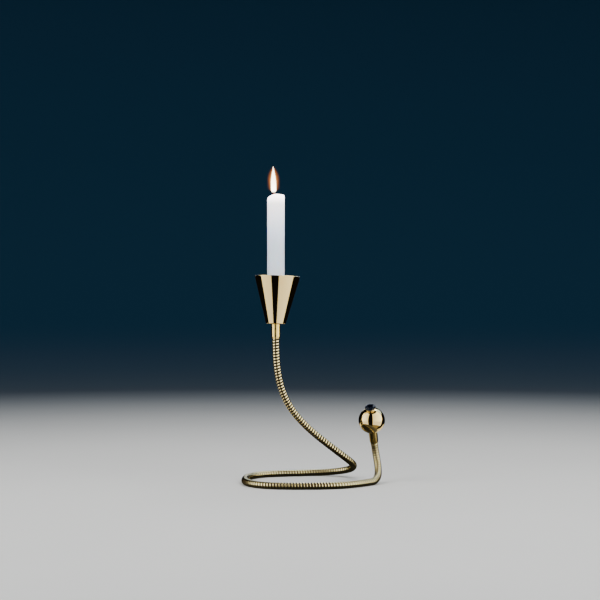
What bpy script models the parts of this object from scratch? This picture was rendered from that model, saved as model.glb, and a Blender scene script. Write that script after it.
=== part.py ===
"""A flexible brass candlestick: a ribbed neck laid in a loop on the table rises at one end
to a conical cup with a lit candle, and at the other end to a brass ball topped by a stone.

Units are metres, +Z is up, the viewer stands at -Y. The origin is on the table, under the
middle of the whole object.
"""

import math

import bmesh
import bpy
from mathutils import Matrix, Vector

MM = 0.001

# Clearance kept between neighbouring pieces, and the small bevel on turned corners
GAP = 0.3 * MM
EDGE = 0.3 * MM

# Ribbed neck
NECK_RADIUS = 4.6 * MM
RIB_PITCH = 3.6 * MM
RIB_DEPTH = 0.7 * MM
RING_SIDES = 8
FLOOR_CUT = 0.5 * MM
LINING_STEP = 3

# Ball and seat where two links of the neck meet
KNUCKLE_INSET = 0.6 * MM
KNUCKLE_WALL = 0.8 * MM
LIP_SETBACK = 0.4 * MM
LIP_DEPTH = 0.25 * MM
SHOULDER_SETBACK = 0.9 * MM
ARC_STEPS = 2
CORE_WALL = 1.0 * MM
CORE_SETBACK = 0.5 * MM

# Ferrules at both ends of the neck
FERRULE_LENGTH = 18.2 * MM
FERRULE_WALL = 1.3 * MM
FERRULE_TAPER = 2.5 * MM
FERRULE_MOUTH_WALL = 0.8 * MM
SOCKET_DEPTH = 7.0 * MM
STUD_RADIUS = 3.0 * MM
STUD_CLEARANCE = 0.3 * MM
TAIL_STUD_LENGTH = 8.0 * MM
STUD_PROUD = 1.5 * MM

# Conical cup, which leans to the right on its ferrule by this many degrees
CUP_HEIGHT = 59.4 * MM
CUP_FOOT_RADIUS = 12.3 * MM
CUP_RIM_RADIUS = 28.5 * MM
CUP_WALL = 1.2 * MM
CUP_FLOOR = 2.0 * MM
CUP_LEAN_RIGHT = 1.8

# Fasteners inside the cup
WASHER_RADIUS = 6.5 * MM
WASHER_THICKNESS = 1.0 * MM
NUT_ACROSS_FLATS = 10.0 * MM
NUT_THICKNESS = 5.0 * MM
NUT_CHAMFER = 0.5 * MM
NUT_FLATS = 6
NUT_STEPS_PER_FLAT = 4

# Drip pan and candle socket
PAN_DEPTH = 8.0 * MM
PAN_THICKNESS = 1.2 * MM
PAN_DISH = 1.5 * MM
SLEEVE_DEPTH = 28.0 * MM
SLEEVE_WALL = 1.0 * MM
SLEEVE_FLOOR = 1.2 * MM
SLEEVE_FLANGE = 2.0 * MM
FLANGE_THICKNESS = 1.0 * MM

# Candle, wick and flame
CANDLE_RADIUS = 10.75 * MM
CANDLE_LENGTH = 134.6 * MM
CANDLE_SHOULDER = 3.5 * MM
CANDLE_CROWN_RADIUS = 5.0 * MM
CANDLE_CROWN_STEPS = 4
WICK_RADIUS = 0.6 * MM
WICK_EXPOSED = 4.5 * MM
FLAME_HEIGHT = 33.7 * MM
FLAME_RADIUS = 4.3 * MM
FLAME_LIFT = 1.5 * MM
FLAME_RINGS = 9
FLAME_RING_BIAS = 1.5

# Ball and stone at the tail
BALL_RADIUS = 16.5 * MM
BALL_RINGS = 14
SPOT_FACE_MARGIN = 0.5 * MM
STONE_RADIUS = 7.0 * MM
STONE_GIRDLE = 1.0 * MM
STONE_CROWN = 1.8 * MM
STONE_TABLE_RADIUS = 4.4 * MM
STONE_SIDES = 8
STONE_OVERHANG = 1.6 * MM
COLLET_HEIGHT = 2.8 * MM
COLLET_WIDTH = 2.2 * MM

# Facets around turned pieces
LARGE_SIDES = 40
SMALL_SIDES = 20

# Edges that turn more than these degrees stay crisp, and points this close are one point
TURNED_CREASE = 35.0
BENT_CREASE = 20.0
FACET_CREASE = 5.0
SAME_POINT = 1e-7

# The neck's route, as points chosen by hand from the tail's ferrule to the cup's ferrule.
# Each has its place in millimetres, its heading in degrees from +X towards +Y, its
# elevation in degrees, and how far the curve reaches back and on before it turns.
FLOOR_HEIGHT = (NECK_RADIUS - FLOOR_CUT) / MM
TAIL_LEAN_LEFT = 8.05
TAIL_LEAN_FORWARD = 30.5
TAIL_AXIS = Vector((
    -math.tan(math.radians(TAIL_LEAN_LEFT)),
    -math.tan(math.radians(TAIL_LEAN_FORWARD)),
    1.0,
)).normalized()
TAIL_HEADING = math.degrees(math.atan2(-TAIL_AXIS.y, -TAIL_AXIS.x))
TAIL_ELEVATION = -math.degrees(math.asin(TAIL_AXIS.z))
ROUTE = (
    ((77.3, 4.3, 50.0), TAIL_HEADING, TAIL_ELEVATION, 0.0, 33.0),
    ((70.3, -28.5, FLOOR_HEIGHT), 226.5, 0.0, 26.5, 33.5),
    ((-13.2, -65.6, FLOOR_HEIGHT), 180.0, 0.0, 47.0, 31.0),
    ((-85.0, -3.4, FLOOR_HEIGHT), 90.0, 0.0, 60.0, 60.5),
    ((-16.2, 62.3, FLOOR_HEIGHT), 15.7, 0.0, 25.0, 36.0),
    ((52.3, 33.5, 17.9), 262.0, 23.7, 29.0, 13.7),
    ((10.1, 7.2, 54.1), 189.0, 38.4, 39.0, 60.5),
    ((-46.4, -12.8, 180.8), 0.0, 90.0, 61.0, 0.0),
)
ROUTE_SAMPLES = 200

# Where the neck bends, as distances in millimetres along it from the tail's ferrule
TAIL_BENDS = (14.0, 36.0, 58.0)
LOOP_BENDS = (166.0, 278.0)
RISER_BENDS = (475.0, 504.0, 533.0, 562.0, 591.0, 619.0, 648.0, 670.0)


class Route:
    """The neck's smooth centre line, with a normal that never twists round it."""

    def __init__(self, stops):
        points = []
        for start, end in zip(stops[:-1], stops[1:]):
            points += self.curve_between(start, end)
        points.append(Vector(stops[-1][0]) * MM)
        self.points = points
        self.tangents = self.directions(points)
        self.lengths = [0.0]
        for before, after in zip(points[:-1], points[1:]):
            self.lengths.append(self.lengths[-1] + (after - before).length)
        self.length = self.lengths[-1]
        self.normals = self.carried_normals(len(points) // 2)

    @staticmethod
    def heading(stop):
        """The neck's direction at a stop."""
        turn, rise = math.radians(stop[1]), math.radians(stop[2])
        flat = math.cos(rise)
        return Vector((math.cos(turn) * flat, math.sin(turn) * flat, math.sin(rise)))

    @classmethod
    def curve_between(cls, start, end):
        """A cubic curve from one stop to the next, without its last point."""
        first, last = Vector(start[0]), Vector(end[0])
        leave = first + cls.heading(start) * start[4]
        arrive = last - cls.heading(end) * end[3]
        found = []
        for step in range(ROUTE_SAMPLES):
            t = step / ROUTE_SAMPLES
            u = 1.0 - t
            place = first * u**3 + leave * 3 * u * u * t + arrive * 3 * u * t * t + last * t**3
            found.append(place * MM)
        return found

    @staticmethod
    def directions(points):
        """The neck's direction at each point, halfway between those of its two sides."""
        ahead = [after - before for before, after in zip(points[:-1], points[1:])]
        inner = [(a.normalized() + b.normalized()).normalized() for a, b in zip(ahead[:-1], ahead[1:])]
        return [ahead[0].normalized(), *inner, ahead[-1].normalized()]

    def carried_normals(self, floor_index):
        """Starts from straight up, where the neck lies flat, and carries it both ways."""
        normals = [None] * len(self.points)
        normals[floor_index] = Vector((0.0, 0.0, 1.0))
        for order in (range(floor_index + 1, len(self.points)), range(floor_index - 1, -1, -1)):
            normal = normals[floor_index]
            for index in order:
                tangent = self.tangents[index]
                normal = (normal - tangent * normal.dot(tangent)).normalized()
                normals[index] = normal
        return normals

    def at(self, distance):
        """Place, tangent and normal at a distance, running straight on past either end."""
        if distance <= 0.0:
            return self.points[0] + self.tangents[0] * distance, self.tangents[0], self.normals[0]
        if distance >= self.length:
            past = distance - self.length
            return self.points[-1] + self.tangents[-1] * past, self.tangents[-1], self.normals[-1]
        low, high = 0, len(self.lengths) - 1
        while high - low > 1:
            middle = (low + high) // 2
            if self.lengths[middle] <= distance:
                low = middle
            else:
                high = middle
        share = (distance - self.lengths[low]) / (self.lengths[high] - self.lengths[low])
        place = self.points[low].lerp(self.points[high], share)
        tangent = self.tangents[low].lerp(self.tangents[high], share).normalized()
        normal = self.normals[low].lerp(self.normals[high], share)
        normal = (normal - tangent * normal.dot(tangent)).normalized()
        return place, tangent, normal


# Sizes that follow from the driving ones
ROUTE_LINE = Route(ROUTE)
RIB_COUNT = round(ROUTE_LINE.length / RIB_PITCH)
PITCH = ROUTE_LINE.length / RIB_COUNT
GROOVE_RADIUS = NECK_RADIUS - RIB_DEPTH
KNUCKLE_RADIUS = GROOVE_RADIUS - KNUCKLE_INSET
BORE_RADIUS = KNUCKLE_RADIUS - KNUCKLE_WALL
SEAT_RADIUS = (KNUCKLE_RADIUS + GAP) / math.cos(math.pi / RING_SIDES)
CORE_RADIUS = BORE_RADIUS - GAP
CORE_BORE = CORE_RADIUS - CORE_WALL
SOCKET_RADIUS = GROOVE_RADIUS + GAP
FERRULE_RADIUS = SOCKET_RADIUS + FERRULE_WALL
SPIGOT_LENGTH = SOCKET_DEPTH - GAP
STUD_HOLE_RADIUS = STUD_RADIUS + STUD_CLEARANCE
COLLET_RADIUS = STONE_RADIUS - STONE_OVERHANG
CUP_SLOPE = math.tan(math.radians(CUP_LEAN_RIGHT))
CUP_AXIS = Vector((CUP_SLOPE, 0.0, 1.0)).normalized()
CUP_SEAT_RISE = FERRULE_RADIUS * CUP_SLOPE
WASHER_SEAT_RISE = WASHER_RADIUS * CUP_SLOPE
CUP_STUD_LENGTH = (
    CUP_SEAT_RISE + CUP_FLOOR + WASHER_SEAT_RISE + WASHER_THICKNESS + NUT_THICKNESS
    + 3 * GAP + STUD_PROUD
)
PAN_FOOT = CUP_HEIGHT - PAN_DEPTH
FLANGE_TOP = PAN_FOOT + PAN_THICKNESS + GAP + FLANGE_THICKNESS
SLEEVE_BORE = CANDLE_RADIUS + GAP + FLANGE_TOP * CUP_SLOPE
SLEEVE_RADIUS = SLEEVE_BORE + SLEEVE_WALL
WICK_BORE = WICK_RADIUS + GAP


def linear(hex_colour):
    """A colour written as sRGB hex, as the linear values that shaders take."""
    channels = [int(hex_colour[i:i + 2], 16) / 255 for i in (1, 3, 5)]
    return [c / 12.92 if c <= 0.04045 else ((c + 0.055) / 1.055) ** 2.4 for c in channels] + [1.0]


def material(name, hex_colour, roughness, metallic=0.0, glow=0.0):
    """A plain finish, which also gives off light where it glows."""
    made = bpy.data.materials.new(name)
    made.use_nodes = True
    shader = made.node_tree.nodes["Principled BSDF"]
    shader.inputs["Base Color"].default_value = linear(hex_colour)
    shader.inputs["Roughness"].default_value = roughness
    shader.inputs["Metallic"].default_value = metallic
    if glow:
        shader.inputs["Emission Color"].default_value = linear(hex_colour)
        shader.inputs["Emission Strength"].default_value = glow
    return made


def clear_scene():
    """Removes whatever the scene already holds."""
    for obj in list(bpy.data.objects):
        bpy.data.objects.remove(obj, do_unlink=True)


def place_object(name, mesh, finish, sharp_degrees):
    """Puts a mesh in the scene under a name, shaded smooth apart from its sharp edges."""
    obj = bpy.data.objects.new(name, mesh)
    bpy.context.scene.collection.objects.link(obj)
    mesh.materials.append(finish)
    mesh.shade_smooth()
    mesh.set_sharp_from_angle(angle=math.radians(sharp_degrees))
    return obj


def turned(name, outline, finish, sides, closed, frame):
    """Spins an outline of (radius, height) points round the Z axis of a frame.

    A closed outline makes a ring with a hole. An open one starts and ends on the axis.
    """
    shape = bmesh.new()
    verts = [shape.verts.new((radius, 0.0, height)) for radius, height in outline]
    pairs = list(zip(verts[:-1], verts[1:]))
    if closed:
        pairs.append((verts[-1], verts[0]))
    edges = [shape.edges.new(pair) for pair in pairs]
    bmesh.ops.spin(
        shape, geom=verts + edges, cent=(0, 0, 0), axis=(0, 0, 1),
        angle=2 * math.pi, steps=sides, use_merge=True,
    )
    bmesh.ops.remove_doubles(shape, verts=shape.verts, dist=SAME_POINT)
    bmesh.ops.recalc_face_normals(shape, faces=shape.faces)
    mesh = bpy.data.meshes.new(name)
    shape.to_mesh(mesh)
    shape.free()
    place_object(name, mesh, finish, TURNED_CREASE).matrix_world = frame


def swept(name, outline, route, finish):
    """Carries a closed outline of (distance, radius) points along the route, as rings."""
    shape = bmesh.new()
    rings = []
    for distance, radius in outline:
        place, tangent, normal = route.at(distance)
        side = tangent.cross(normal)
        ring = []
        for step in range(RING_SIDES):
            angle = 2 * math.pi * step / RING_SIDES
            ring.append(shape.verts.new(
                place + normal * (radius * math.cos(angle)) + side * (radius * math.sin(angle))
            ))
        rings.append(ring)
    for ring, following in zip(rings, rings[1:] + rings[:1]):
        for step in range(RING_SIDES):
            after = (step + 1) % RING_SIDES
            shape.faces.new((ring[step], ring[after], following[after], following[step]))
    bmesh.ops.recalc_face_normals(shape, faces=shape.faces)
    mesh = bpy.data.meshes.new(name)
    shape.to_mesh(mesh)
    shape.free()
    return place_object(name, mesh, finish, BENT_CREASE)


def frame_along(place, axis):
    """A frame at a place whose Z axis runs along the given direction."""
    return Matrix.Translation(place) @ axis.to_track_quat("Z", "Y").to_matrix().to_4x4()


def arc(centre, radius, first_radius, last_radius, first_offset):
    """Points (distance, radius) on a circle about the neck's axis, at a bend's centre."""
    first = math.atan2(first_offset, first_radius)
    last = math.acos(last_radius / radius)
    found = []
    for step in range(ARC_STEPS + 1):
        angle = first + (last - first) * step / ARC_STEPS
        found.append((centre + radius * math.sin(angle), radius * math.cos(angle)))
    return found


def lining_stops(first_rib, last_rib):
    """Distances inside a link where its bore and its spring tube both turn with the route."""
    count = math.ceil((last_rib - first_rib) / LINING_STEP)
    share = (last_rib - first_rib) / count
    stops = [(first_rib + share * step) * PITCH for step in range(1, count)]
    if first_rib == 0:
        stops.insert(0, 0.0)
    if last_rib == RIB_COUNT:
        stops.append(last_rib * PITCH)
    else:
        stops.append(last_rib * PITCH - CORE_SETBACK)
    return stops


def winding_outline(first_rib, last_rib):
    """Outline of one link: ribs outside, a rounded end ahead, a hollow seat behind, a bore."""
    start, end = first_rib * PITCH, last_rib * PITCH
    outside = []
    if first_rib == 0:
        seat = [(start - SPIGOT_LENGTH, BORE_RADIUS)]
        outside += [(start - SPIGOT_LENGTH, GROOVE_RADIUS), (start, GROOVE_RADIUS)]
    else:
        lip_radius = math.sqrt(SEAT_RADIUS**2 - LIP_SETBACK**2)
        seat = arc(start, SEAT_RADIUS, lip_radius, BORE_RADIUS, LIP_SETBACK)
        outside.append((start + LIP_SETBACK, NECK_RADIUS - LIP_DEPTH))
    for rib in range(first_rib, last_rib):
        outside.append(((rib + 0.5) * PITCH, NECK_RADIUS))
        if rib + 1 < last_rib:
            outside.append(((rib + 1) * PITCH, GROOVE_RADIUS))
    if last_rib == RIB_COUNT:
        outside += [(end, GROOVE_RADIUS), (end + SPIGOT_LENGTH, GROOVE_RADIUS)]
        front = [(end + SPIGOT_LENGTH, BORE_RADIUS)]
    else:
        outside.append((end - SHOULDER_SETBACK, KNUCKLE_RADIUS))
        front = arc(end, KNUCKLE_RADIUS, KNUCKLE_RADIUS, BORE_RADIUS, 0.0)
    bore = [(stop, BORE_RADIUS) for stop in lining_stops(first_rib, last_rib)]
    return outside + front + bore[::-1] + seat[::-1]


def core_outline(first_rib, last_rib):
    """Outline of the spring tube inside one link, clear of the knuckles at its ends."""
    clear_of_knuckle = math.sqrt((KNUCKLE_RADIUS + GAP) ** 2 - CORE_BORE**2)
    start = GAP - SPIGOT_LENGTH if first_rib == 0 else first_rib * PITCH + clear_of_knuckle
    stops = [start, *lining_stops(first_rib, last_rib)]
    if last_rib == RIB_COUNT:
        stops.append(last_rib * PITCH + SPIGOT_LENGTH - GAP)
    return [(stop, CORE_RADIUS) for stop in stops] + [(stop, CORE_BORE) for stop in stops[::-1]]


def flatten_underside(obj):
    """Cuts the ribs flat where they rest on the table, so that the base lies still.

    The block that stands for the table is as wide as the neck is long, so that it
    reaches under every rib.
    """
    shape = bmesh.new()
    bmesh.ops.create_cube(shape, size=ROUTE_LINE.length)
    mesh = bpy.data.meshes.new("table_cut")
    shape.to_mesh(mesh)
    shape.free()
    cutter = bpy.data.objects.new("table_cut_" + obj.name, mesh)
    bpy.context.scene.collection.objects.link(cutter)
    cutter.location.z = -0.5 * ROUTE_LINE.length
    cutter.hide_render = True
    cutter.display_type = "WIRE"
    cut = obj.modifiers.new("table", "BOOLEAN")
    cut.operation = "DIFFERENCE"
    cut.solver = "EXACT"
    cut.object = cutter


def build_neck(brass, steel):
    """Every link of the ribbed winding, and the spring tube inside it."""
    bends = [distance * MM for distance in TAIL_BENDS + LOOP_BENDS + RISER_BENDS]
    ribs = [0, *(round(distance / PITCH) for distance in bends), RIB_COUNT]
    for number, (first_rib, last_rib) in enumerate(zip(ribs[:-1], ribs[1:]), start=1):
        winding = swept(f"neck_winding_{number:02d}", winding_outline(first_rib, last_rib), ROUTE_LINE, brass)
        if min((vertex.co.z for vertex in winding.data.vertices)) < 0.0:
            flatten_underside(winding)
        swept(f"neck_core_{number:02d}", core_outline(first_rib, last_rib), ROUTE_LINE, steel)
    print_bends(ribs[1:-1])


def print_bends(ribs):
    """Prints where the neck bends, in millimetres, and its direction there."""
    for rib in ribs:
        place, tangent, _ = ROUTE_LINE.at(rib * PITCH)
        print("bend", rib, [round(c / MM, 2) for c in place], [round(c, 3) for c in tangent])


def ferrule(name, mouth, axis, stud_length, brass):
    """A turned sleeve that takes the neck's plain end, with a stud on its closed end."""
    outline = [
        (SOCKET_RADIUS, 0.0),
        (SOCKET_RADIUS + FERRULE_MOUTH_WALL, 0.0),
        (FERRULE_RADIUS, FERRULE_TAPER),
        (FERRULE_RADIUS, FERRULE_LENGTH),
        (STUD_RADIUS, FERRULE_LENGTH),
        (STUD_RADIUS, FERRULE_LENGTH + stud_length - EDGE),
        (STUD_RADIUS - EDGE, FERRULE_LENGTH + stud_length),
        (0.0, FERRULE_LENGTH + stud_length),
    ]
    outline = [(0.0, SOCKET_DEPTH), (SOCKET_RADIUS, SOCKET_DEPTH), *outline]
    turned(name, outline, brass, SMALL_SIDES, False, frame_along(mouth, axis))


def build_tail(brass, stone_black):
    """Ferrule, ball, collet and stone, along the tail's leaning axis."""
    mouth = ROUTE_LINE.points[0]
    ferrule("tail_ferrule", mouth, TAIL_AXIS, TAIL_STUD_LENGTH, brass)
    spot_radius = FERRULE_RADIUS + SPOT_FACE_MARGIN
    spot_depth = math.sqrt(BALL_RADIUS**2 - spot_radius**2)
    frame = frame_along(mouth + TAIL_AXIS * (FERRULE_LENGTH + GAP + spot_depth), TAIL_AXIS)
    top_radius = COLLET_RADIUS + SPOT_FACE_MARGIN
    top_depth = math.sqrt(BALL_RADIUS**2 - top_radius**2)
    low = math.asin(-spot_depth / BALL_RADIUS)
    high = math.asin(top_depth / BALL_RADIUS)
    hole_end = -spot_depth + TAIL_STUD_LENGTH
    outline = [(0.0, hole_end), (STUD_HOLE_RADIUS, hole_end), (STUD_HOLE_RADIUS, -spot_depth)]
    for step in range(BALL_RINGS + 1):
        angle = low + (high - low) * step / BALL_RINGS
        outline.append((BALL_RADIUS * math.cos(angle), BALL_RADIUS * math.sin(angle)))
    outline.append((0.0, top_depth))
    turned("ball", outline, brass, LARGE_SIDES, False, frame)
    foot = top_depth + GAP
    collet = [
        (COLLET_RADIUS - COLLET_WIDTH, foot),
        (COLLET_RADIUS, foot),
        (COLLET_RADIUS, foot + COLLET_HEIGHT - EDGE),
        (COLLET_RADIUS - EDGE, foot + COLLET_HEIGHT),
        (COLLET_RADIUS - COLLET_WIDTH, foot + COLLET_HEIGHT),
    ]
    turned("stone_collet", collet, brass, LARGE_SIDES, True, frame)
    build_stone(foot + COLLET_HEIGHT + GAP, frame, stone_black)


def build_stone(foot, frame, finish):
    """A cut stone: flat base, girdle, kites between two rows of triangles, and a table.

    A kite is flat because the middle of the break ring's side lies on the straight line
    from the girdle to the table. The girdle and the table turn by half a side, which
    brings a flat side to the front.
    """
    break_radius = 0.5 * (STONE_RADIUS + STONE_TABLE_RADIUS)
    run = STONE_RADIUS - break_radius * math.cos(math.pi / STONE_SIDES)
    break_height = STONE_CROWN * run / (STONE_RADIUS - STONE_TABLE_RADIUS)
    levels = (
        (STONE_RADIUS - EDGE, 0.0, 0.5),
        (STONE_RADIUS, EDGE, 0.5),
        (STONE_RADIUS, STONE_GIRDLE, 0.5),
        (break_radius, STONE_GIRDLE + break_height, 0.0),
        (STONE_TABLE_RADIUS, STONE_GIRDLE + STONE_CROWN, 0.5),
    )
    shape = bmesh.new()
    for radius, height, turn in levels:
        for step in range(STONE_SIDES):
            angle = 2 * math.pi * (step + turn) / STONE_SIDES
            shape.verts.new((radius * math.cos(angle), radius * math.sin(angle), foot + height))
    bmesh.ops.convex_hull(shape, input=shape.verts)
    bmesh.ops.dissolve_limit(shape, angle_limit=math.radians(1), verts=shape.verts, edges=shape.edges)
    bmesh.ops.recalc_face_normals(shape, faces=shape.faces)
    mesh = bpy.data.meshes.new("stone")
    shape.to_mesh(mesh)
    shape.free()
    place_object("stone", mesh, finish, FACET_CREASE).matrix_world = frame


def cup_outer_radius(height):
    """Radius of the cone's outside at a height above its foot."""
    return CUP_FOOT_RADIUS + (CUP_RIM_RADIUS - CUP_FOOT_RADIUS) * height / CUP_HEIGHT


def cup_inner_radius(height):
    """Radius of the cone's inside, one wall in, square to the cone."""
    slope = math.atan2(CUP_RIM_RADIUS - CUP_FOOT_RADIUS, CUP_HEIGHT)
    return cup_outer_radius(height) - CUP_WALL / math.cos(slope)


def build_cup(brass, steel):
    """Ferrule, conical shell and its fasteners, drip pan and candle socket.

    The shell, the pan and the socket lean together. The ferrule, the washer, the nut and
    the candle stand upright, each seated clear of the leaning face that it meets.
    """
    mouth = ROUTE_LINE.points[-1]
    up = Vector((0.0, 0.0, 1.0))
    ferrule("top_ferrule", mouth, up, CUP_STUD_LENGTH, brass)
    foot = mouth + up * (FERRULE_LENGTH + GAP + CUP_SEAT_RISE)
    leaning = frame_along(foot, CUP_AXIS)
    upright = Matrix.Translation(foot)
    shell = [
        (STUD_HOLE_RADIUS, 0.0),
        (CUP_FOOT_RADIUS - EDGE, 0.0),
        (CUP_FOOT_RADIUS, EDGE),
        (cup_outer_radius(CUP_HEIGHT), CUP_HEIGHT),
        (cup_inner_radius(CUP_HEIGHT), CUP_HEIGHT),
        (cup_inner_radius(CUP_FLOOR), CUP_FLOOR),
        (STUD_HOLE_RADIUS, CUP_FLOOR),
    ]
    turned("cup_shell", shell, brass, LARGE_SIDES, True, leaning)
    washer_foot = CUP_FLOOR + WASHER_SEAT_RISE + GAP
    washer_top = washer_foot + WASHER_THICKNESS
    washer = [
        (STUD_HOLE_RADIUS, washer_foot), (WASHER_RADIUS, washer_foot),
        (WASHER_RADIUS, washer_top), (STUD_HOLE_RADIUS, washer_top),
    ]
    turned("cup_washer", washer, steel, SMALL_SIDES, True, upright)
    build_nut(washer_top + GAP, upright, steel)

    pan_hole = SLEEVE_RADIUS + GAP
    pan_edge = cup_inner_radius(PAN_FOOT + PAN_DISH) - GAP
    flange_radius = SLEEVE_RADIUS + SLEEVE_FLANGE
    pan = [
        (pan_hole, PAN_FOOT), (flange_radius, PAN_FOOT),
        (pan_edge, PAN_FOOT + PAN_DISH), (pan_edge, PAN_FOOT + PAN_DISH + PAN_THICKNESS),
        (flange_radius, PAN_FOOT + PAN_THICKNESS), (pan_hole, PAN_FOOT + PAN_THICKNESS),
    ]
    turned("drip_pan", pan, brass, LARGE_SIDES, True, leaning)

    flange_foot = FLANGE_TOP - FLANGE_THICKNESS
    sleeve_foot = FLANGE_TOP - SLEEVE_DEPTH
    sleeve_floor = sleeve_foot + SLEEVE_FLOOR
    sleeve = [
        (0.0, sleeve_foot), (SLEEVE_RADIUS, sleeve_foot), (SLEEVE_RADIUS, flange_foot),
        (flange_radius, flange_foot), (flange_radius, FLANGE_TOP),
        (SLEEVE_BORE, FLANGE_TOP), (SLEEVE_BORE, sleeve_floor), (0.0, sleeve_floor),
    ]
    turned("socket_sleeve", sleeve, brass, LARGE_SIDES, False, leaning)
    candle_seat_rise = CANDLE_RADIUS * CUP_SLOPE
    return foot + up * (sleeve_floor / CUP_AXIS.z + candle_seat_rise + GAP)


def build_nut(foot, frame, steel):
    """A hexagonal nut with a round bore, its corners chamfered at both ends.

    Each ring follows the hexagon, or a circle where that is smaller: the bore's, or the
    chamfer's at either end.
    """
    flat_angle = 2 * math.pi / NUT_FLATS
    half_width = NUT_ACROSS_FLATS / 2
    corner = half_width / math.cos(flat_angle / 2)
    levels = (
        (STUD_HOLE_RADIUS, 0.0), (corner - NUT_CHAMFER, 0.0), (corner, NUT_CHAMFER),
        (corner, NUT_THICKNESS - NUT_CHAMFER), (corner - NUT_CHAMFER, NUT_THICKNESS),
        (STUD_HOLE_RADIUS, NUT_THICKNESS),
    )
    shape = bmesh.new()
    steps = NUT_FLATS * NUT_STEPS_PER_FLAT
    rings = []
    for circle, height in levels:
        ring = []
        for step in range(steps):
            angle = 2 * math.pi * step / steps
            from_flat = angle % flat_angle - flat_angle / 2
            radius = min(circle, half_width / math.cos(from_flat))
            ring.append(shape.verts.new(
                (radius * math.cos(angle), radius * math.sin(angle), foot + height)
            ))
        rings.append(ring)
    for ring, following in zip(rings, rings[1:] + rings[:1]):
        for step in range(steps):
            after = (step + 1) % steps
            shape.faces.new((ring[step], ring[after], following[after], following[step]))
    bmesh.ops.recalc_face_normals(shape, faces=shape.faces)
    mesh = bpy.data.meshes.new("cup_nut")
    shape.to_mesh(mesh)
    shape.free()
    place_object("cup_nut", mesh, steel, BENT_CREASE).matrix_world = frame


def build_candle(foot, wax, cotton, fire):
    """Candle with its wick all the way through, and the flame round the wick's end."""
    frame = Matrix.Translation(foot)
    candle = [(WICK_BORE, 0.0), (CANDLE_RADIUS - EDGE, 0.0), (CANDLE_RADIUS, EDGE)]
    for step in range(CANDLE_CROWN_STEPS + 1):
        angle = 0.5 * math.pi * step / CANDLE_CROWN_STEPS
        radius = CANDLE_CROWN_RADIUS + (CANDLE_RADIUS - CANDLE_CROWN_RADIUS) * math.cos(angle)
        candle.append((radius, CANDLE_LENGTH - CANDLE_SHOULDER * (1.0 - math.sin(angle))))
    candle.append((WICK_BORE, CANDLE_LENGTH))
    turned("candle", candle, wax, LARGE_SIDES, True, frame)
    wick_end = CANDLE_LENGTH + WICK_EXPOSED
    wick = [(0.0, 0.0), (WICK_RADIUS, 0.0), (WICK_RADIUS, wick_end), (0.0, wick_end)]
    turned("wick", wick, cotton, SMALL_SIDES // 2, False, frame)
    base = CANDLE_LENGTH + FLAME_LIFT
    hollow = wick_end + GAP
    flame = [(0.0, hollow), (WICK_BORE, hollow), (WICK_BORE, base)]
    for step in range(1, FLAME_RINGS):
        share = (step / FLAME_RINGS) ** FLAME_RING_BIAS
        radius = FLAME_RADIUS * math.sin(math.pi * math.sqrt(share))
        flame.append((radius, base + share * FLAME_HEIGHT))
    flame.append((0.0, base + FLAME_HEIGHT))
    turned("flame", flame, fire, SMALL_SIDES, False, frame)


def main():
    clear_scene()
    brass = material("polished_brass", "#D9B26B", 0.12, 1.0)
    steel = material("spring_steel", "#9A9A98", 0.3, 1.0)
    wax = material("white_wax", "#ECECE8", 0.4)
    cotton = material("charred_cotton", "#3A1D14", 0.9)
    fire = material("flame_glow", "#FFD9A0", 0.5, 0.0, 3.0)
    stone_black = material("dark_stone", "#14161F", 0.08)
    build_neck(brass, steel)
    build_tail(brass, stone_black)
    candle_foot = build_cup(brass, steel)
    build_candle(candle_foot, wax, cotton, fire)


main()
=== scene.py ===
"""A flexible brass candlestick, dressed for a studio picture.

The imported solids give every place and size. This script gives the looks: one long brass
winding for the neck with its wire spring inside, spun and turned brass for the cup, the
ferrules and the ball, a cut dark stone, a half-melted candle crown and a lit flame. Lengths
are metres, +Z is up, and the viewer of the photograph stands at -Y.
"""

from __future__ import annotations

import logging
import math
from collections.abc import Iterable, Sequence
from dataclasses import dataclass, field
from enum import Enum
from typing import NamedTuple

import bmesh
import bpy
import numpy as np
from mathutils import Euler, Matrix, Vector

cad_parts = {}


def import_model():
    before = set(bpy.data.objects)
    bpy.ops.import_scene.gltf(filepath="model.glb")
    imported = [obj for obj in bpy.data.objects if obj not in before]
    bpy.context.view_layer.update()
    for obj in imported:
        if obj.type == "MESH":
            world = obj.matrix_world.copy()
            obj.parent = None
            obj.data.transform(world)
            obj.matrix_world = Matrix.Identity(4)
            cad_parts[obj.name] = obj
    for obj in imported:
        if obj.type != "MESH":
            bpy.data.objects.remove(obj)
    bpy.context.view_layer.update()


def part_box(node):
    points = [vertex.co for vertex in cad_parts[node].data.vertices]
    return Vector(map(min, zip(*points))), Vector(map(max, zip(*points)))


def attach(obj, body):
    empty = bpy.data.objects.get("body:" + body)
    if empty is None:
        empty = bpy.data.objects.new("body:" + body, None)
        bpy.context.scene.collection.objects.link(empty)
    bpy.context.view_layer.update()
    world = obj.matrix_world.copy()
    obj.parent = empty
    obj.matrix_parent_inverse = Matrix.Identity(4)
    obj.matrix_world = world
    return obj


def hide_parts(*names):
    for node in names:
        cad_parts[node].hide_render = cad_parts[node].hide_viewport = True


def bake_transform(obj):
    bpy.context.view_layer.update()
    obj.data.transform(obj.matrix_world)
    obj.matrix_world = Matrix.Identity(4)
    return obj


LOG = logging.getLogger("candlestick")

MM = 0.001
FULL_TURN = 2.0 * math.pi
WELD_DISTANCE = 0.001 * MM

# Clearance between neighbouring pieces, as the solids have it
GAP = 0.3 * MM

# Roundings of worked edges: broken with a file, cut fine, turned crisp, turned soft
BROKEN_EDGE = 0.1 * MM
FINE_EDGE = 0.15 * MM
CRISP_EDGE = 0.2 * MM
SOFT_EDGE = 0.3 * MM

# Edges that turn by more degrees than this stay crisp: all of them, or none
EVERY_EDGE = 1.0
NO_EDGE = 180.0

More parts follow.
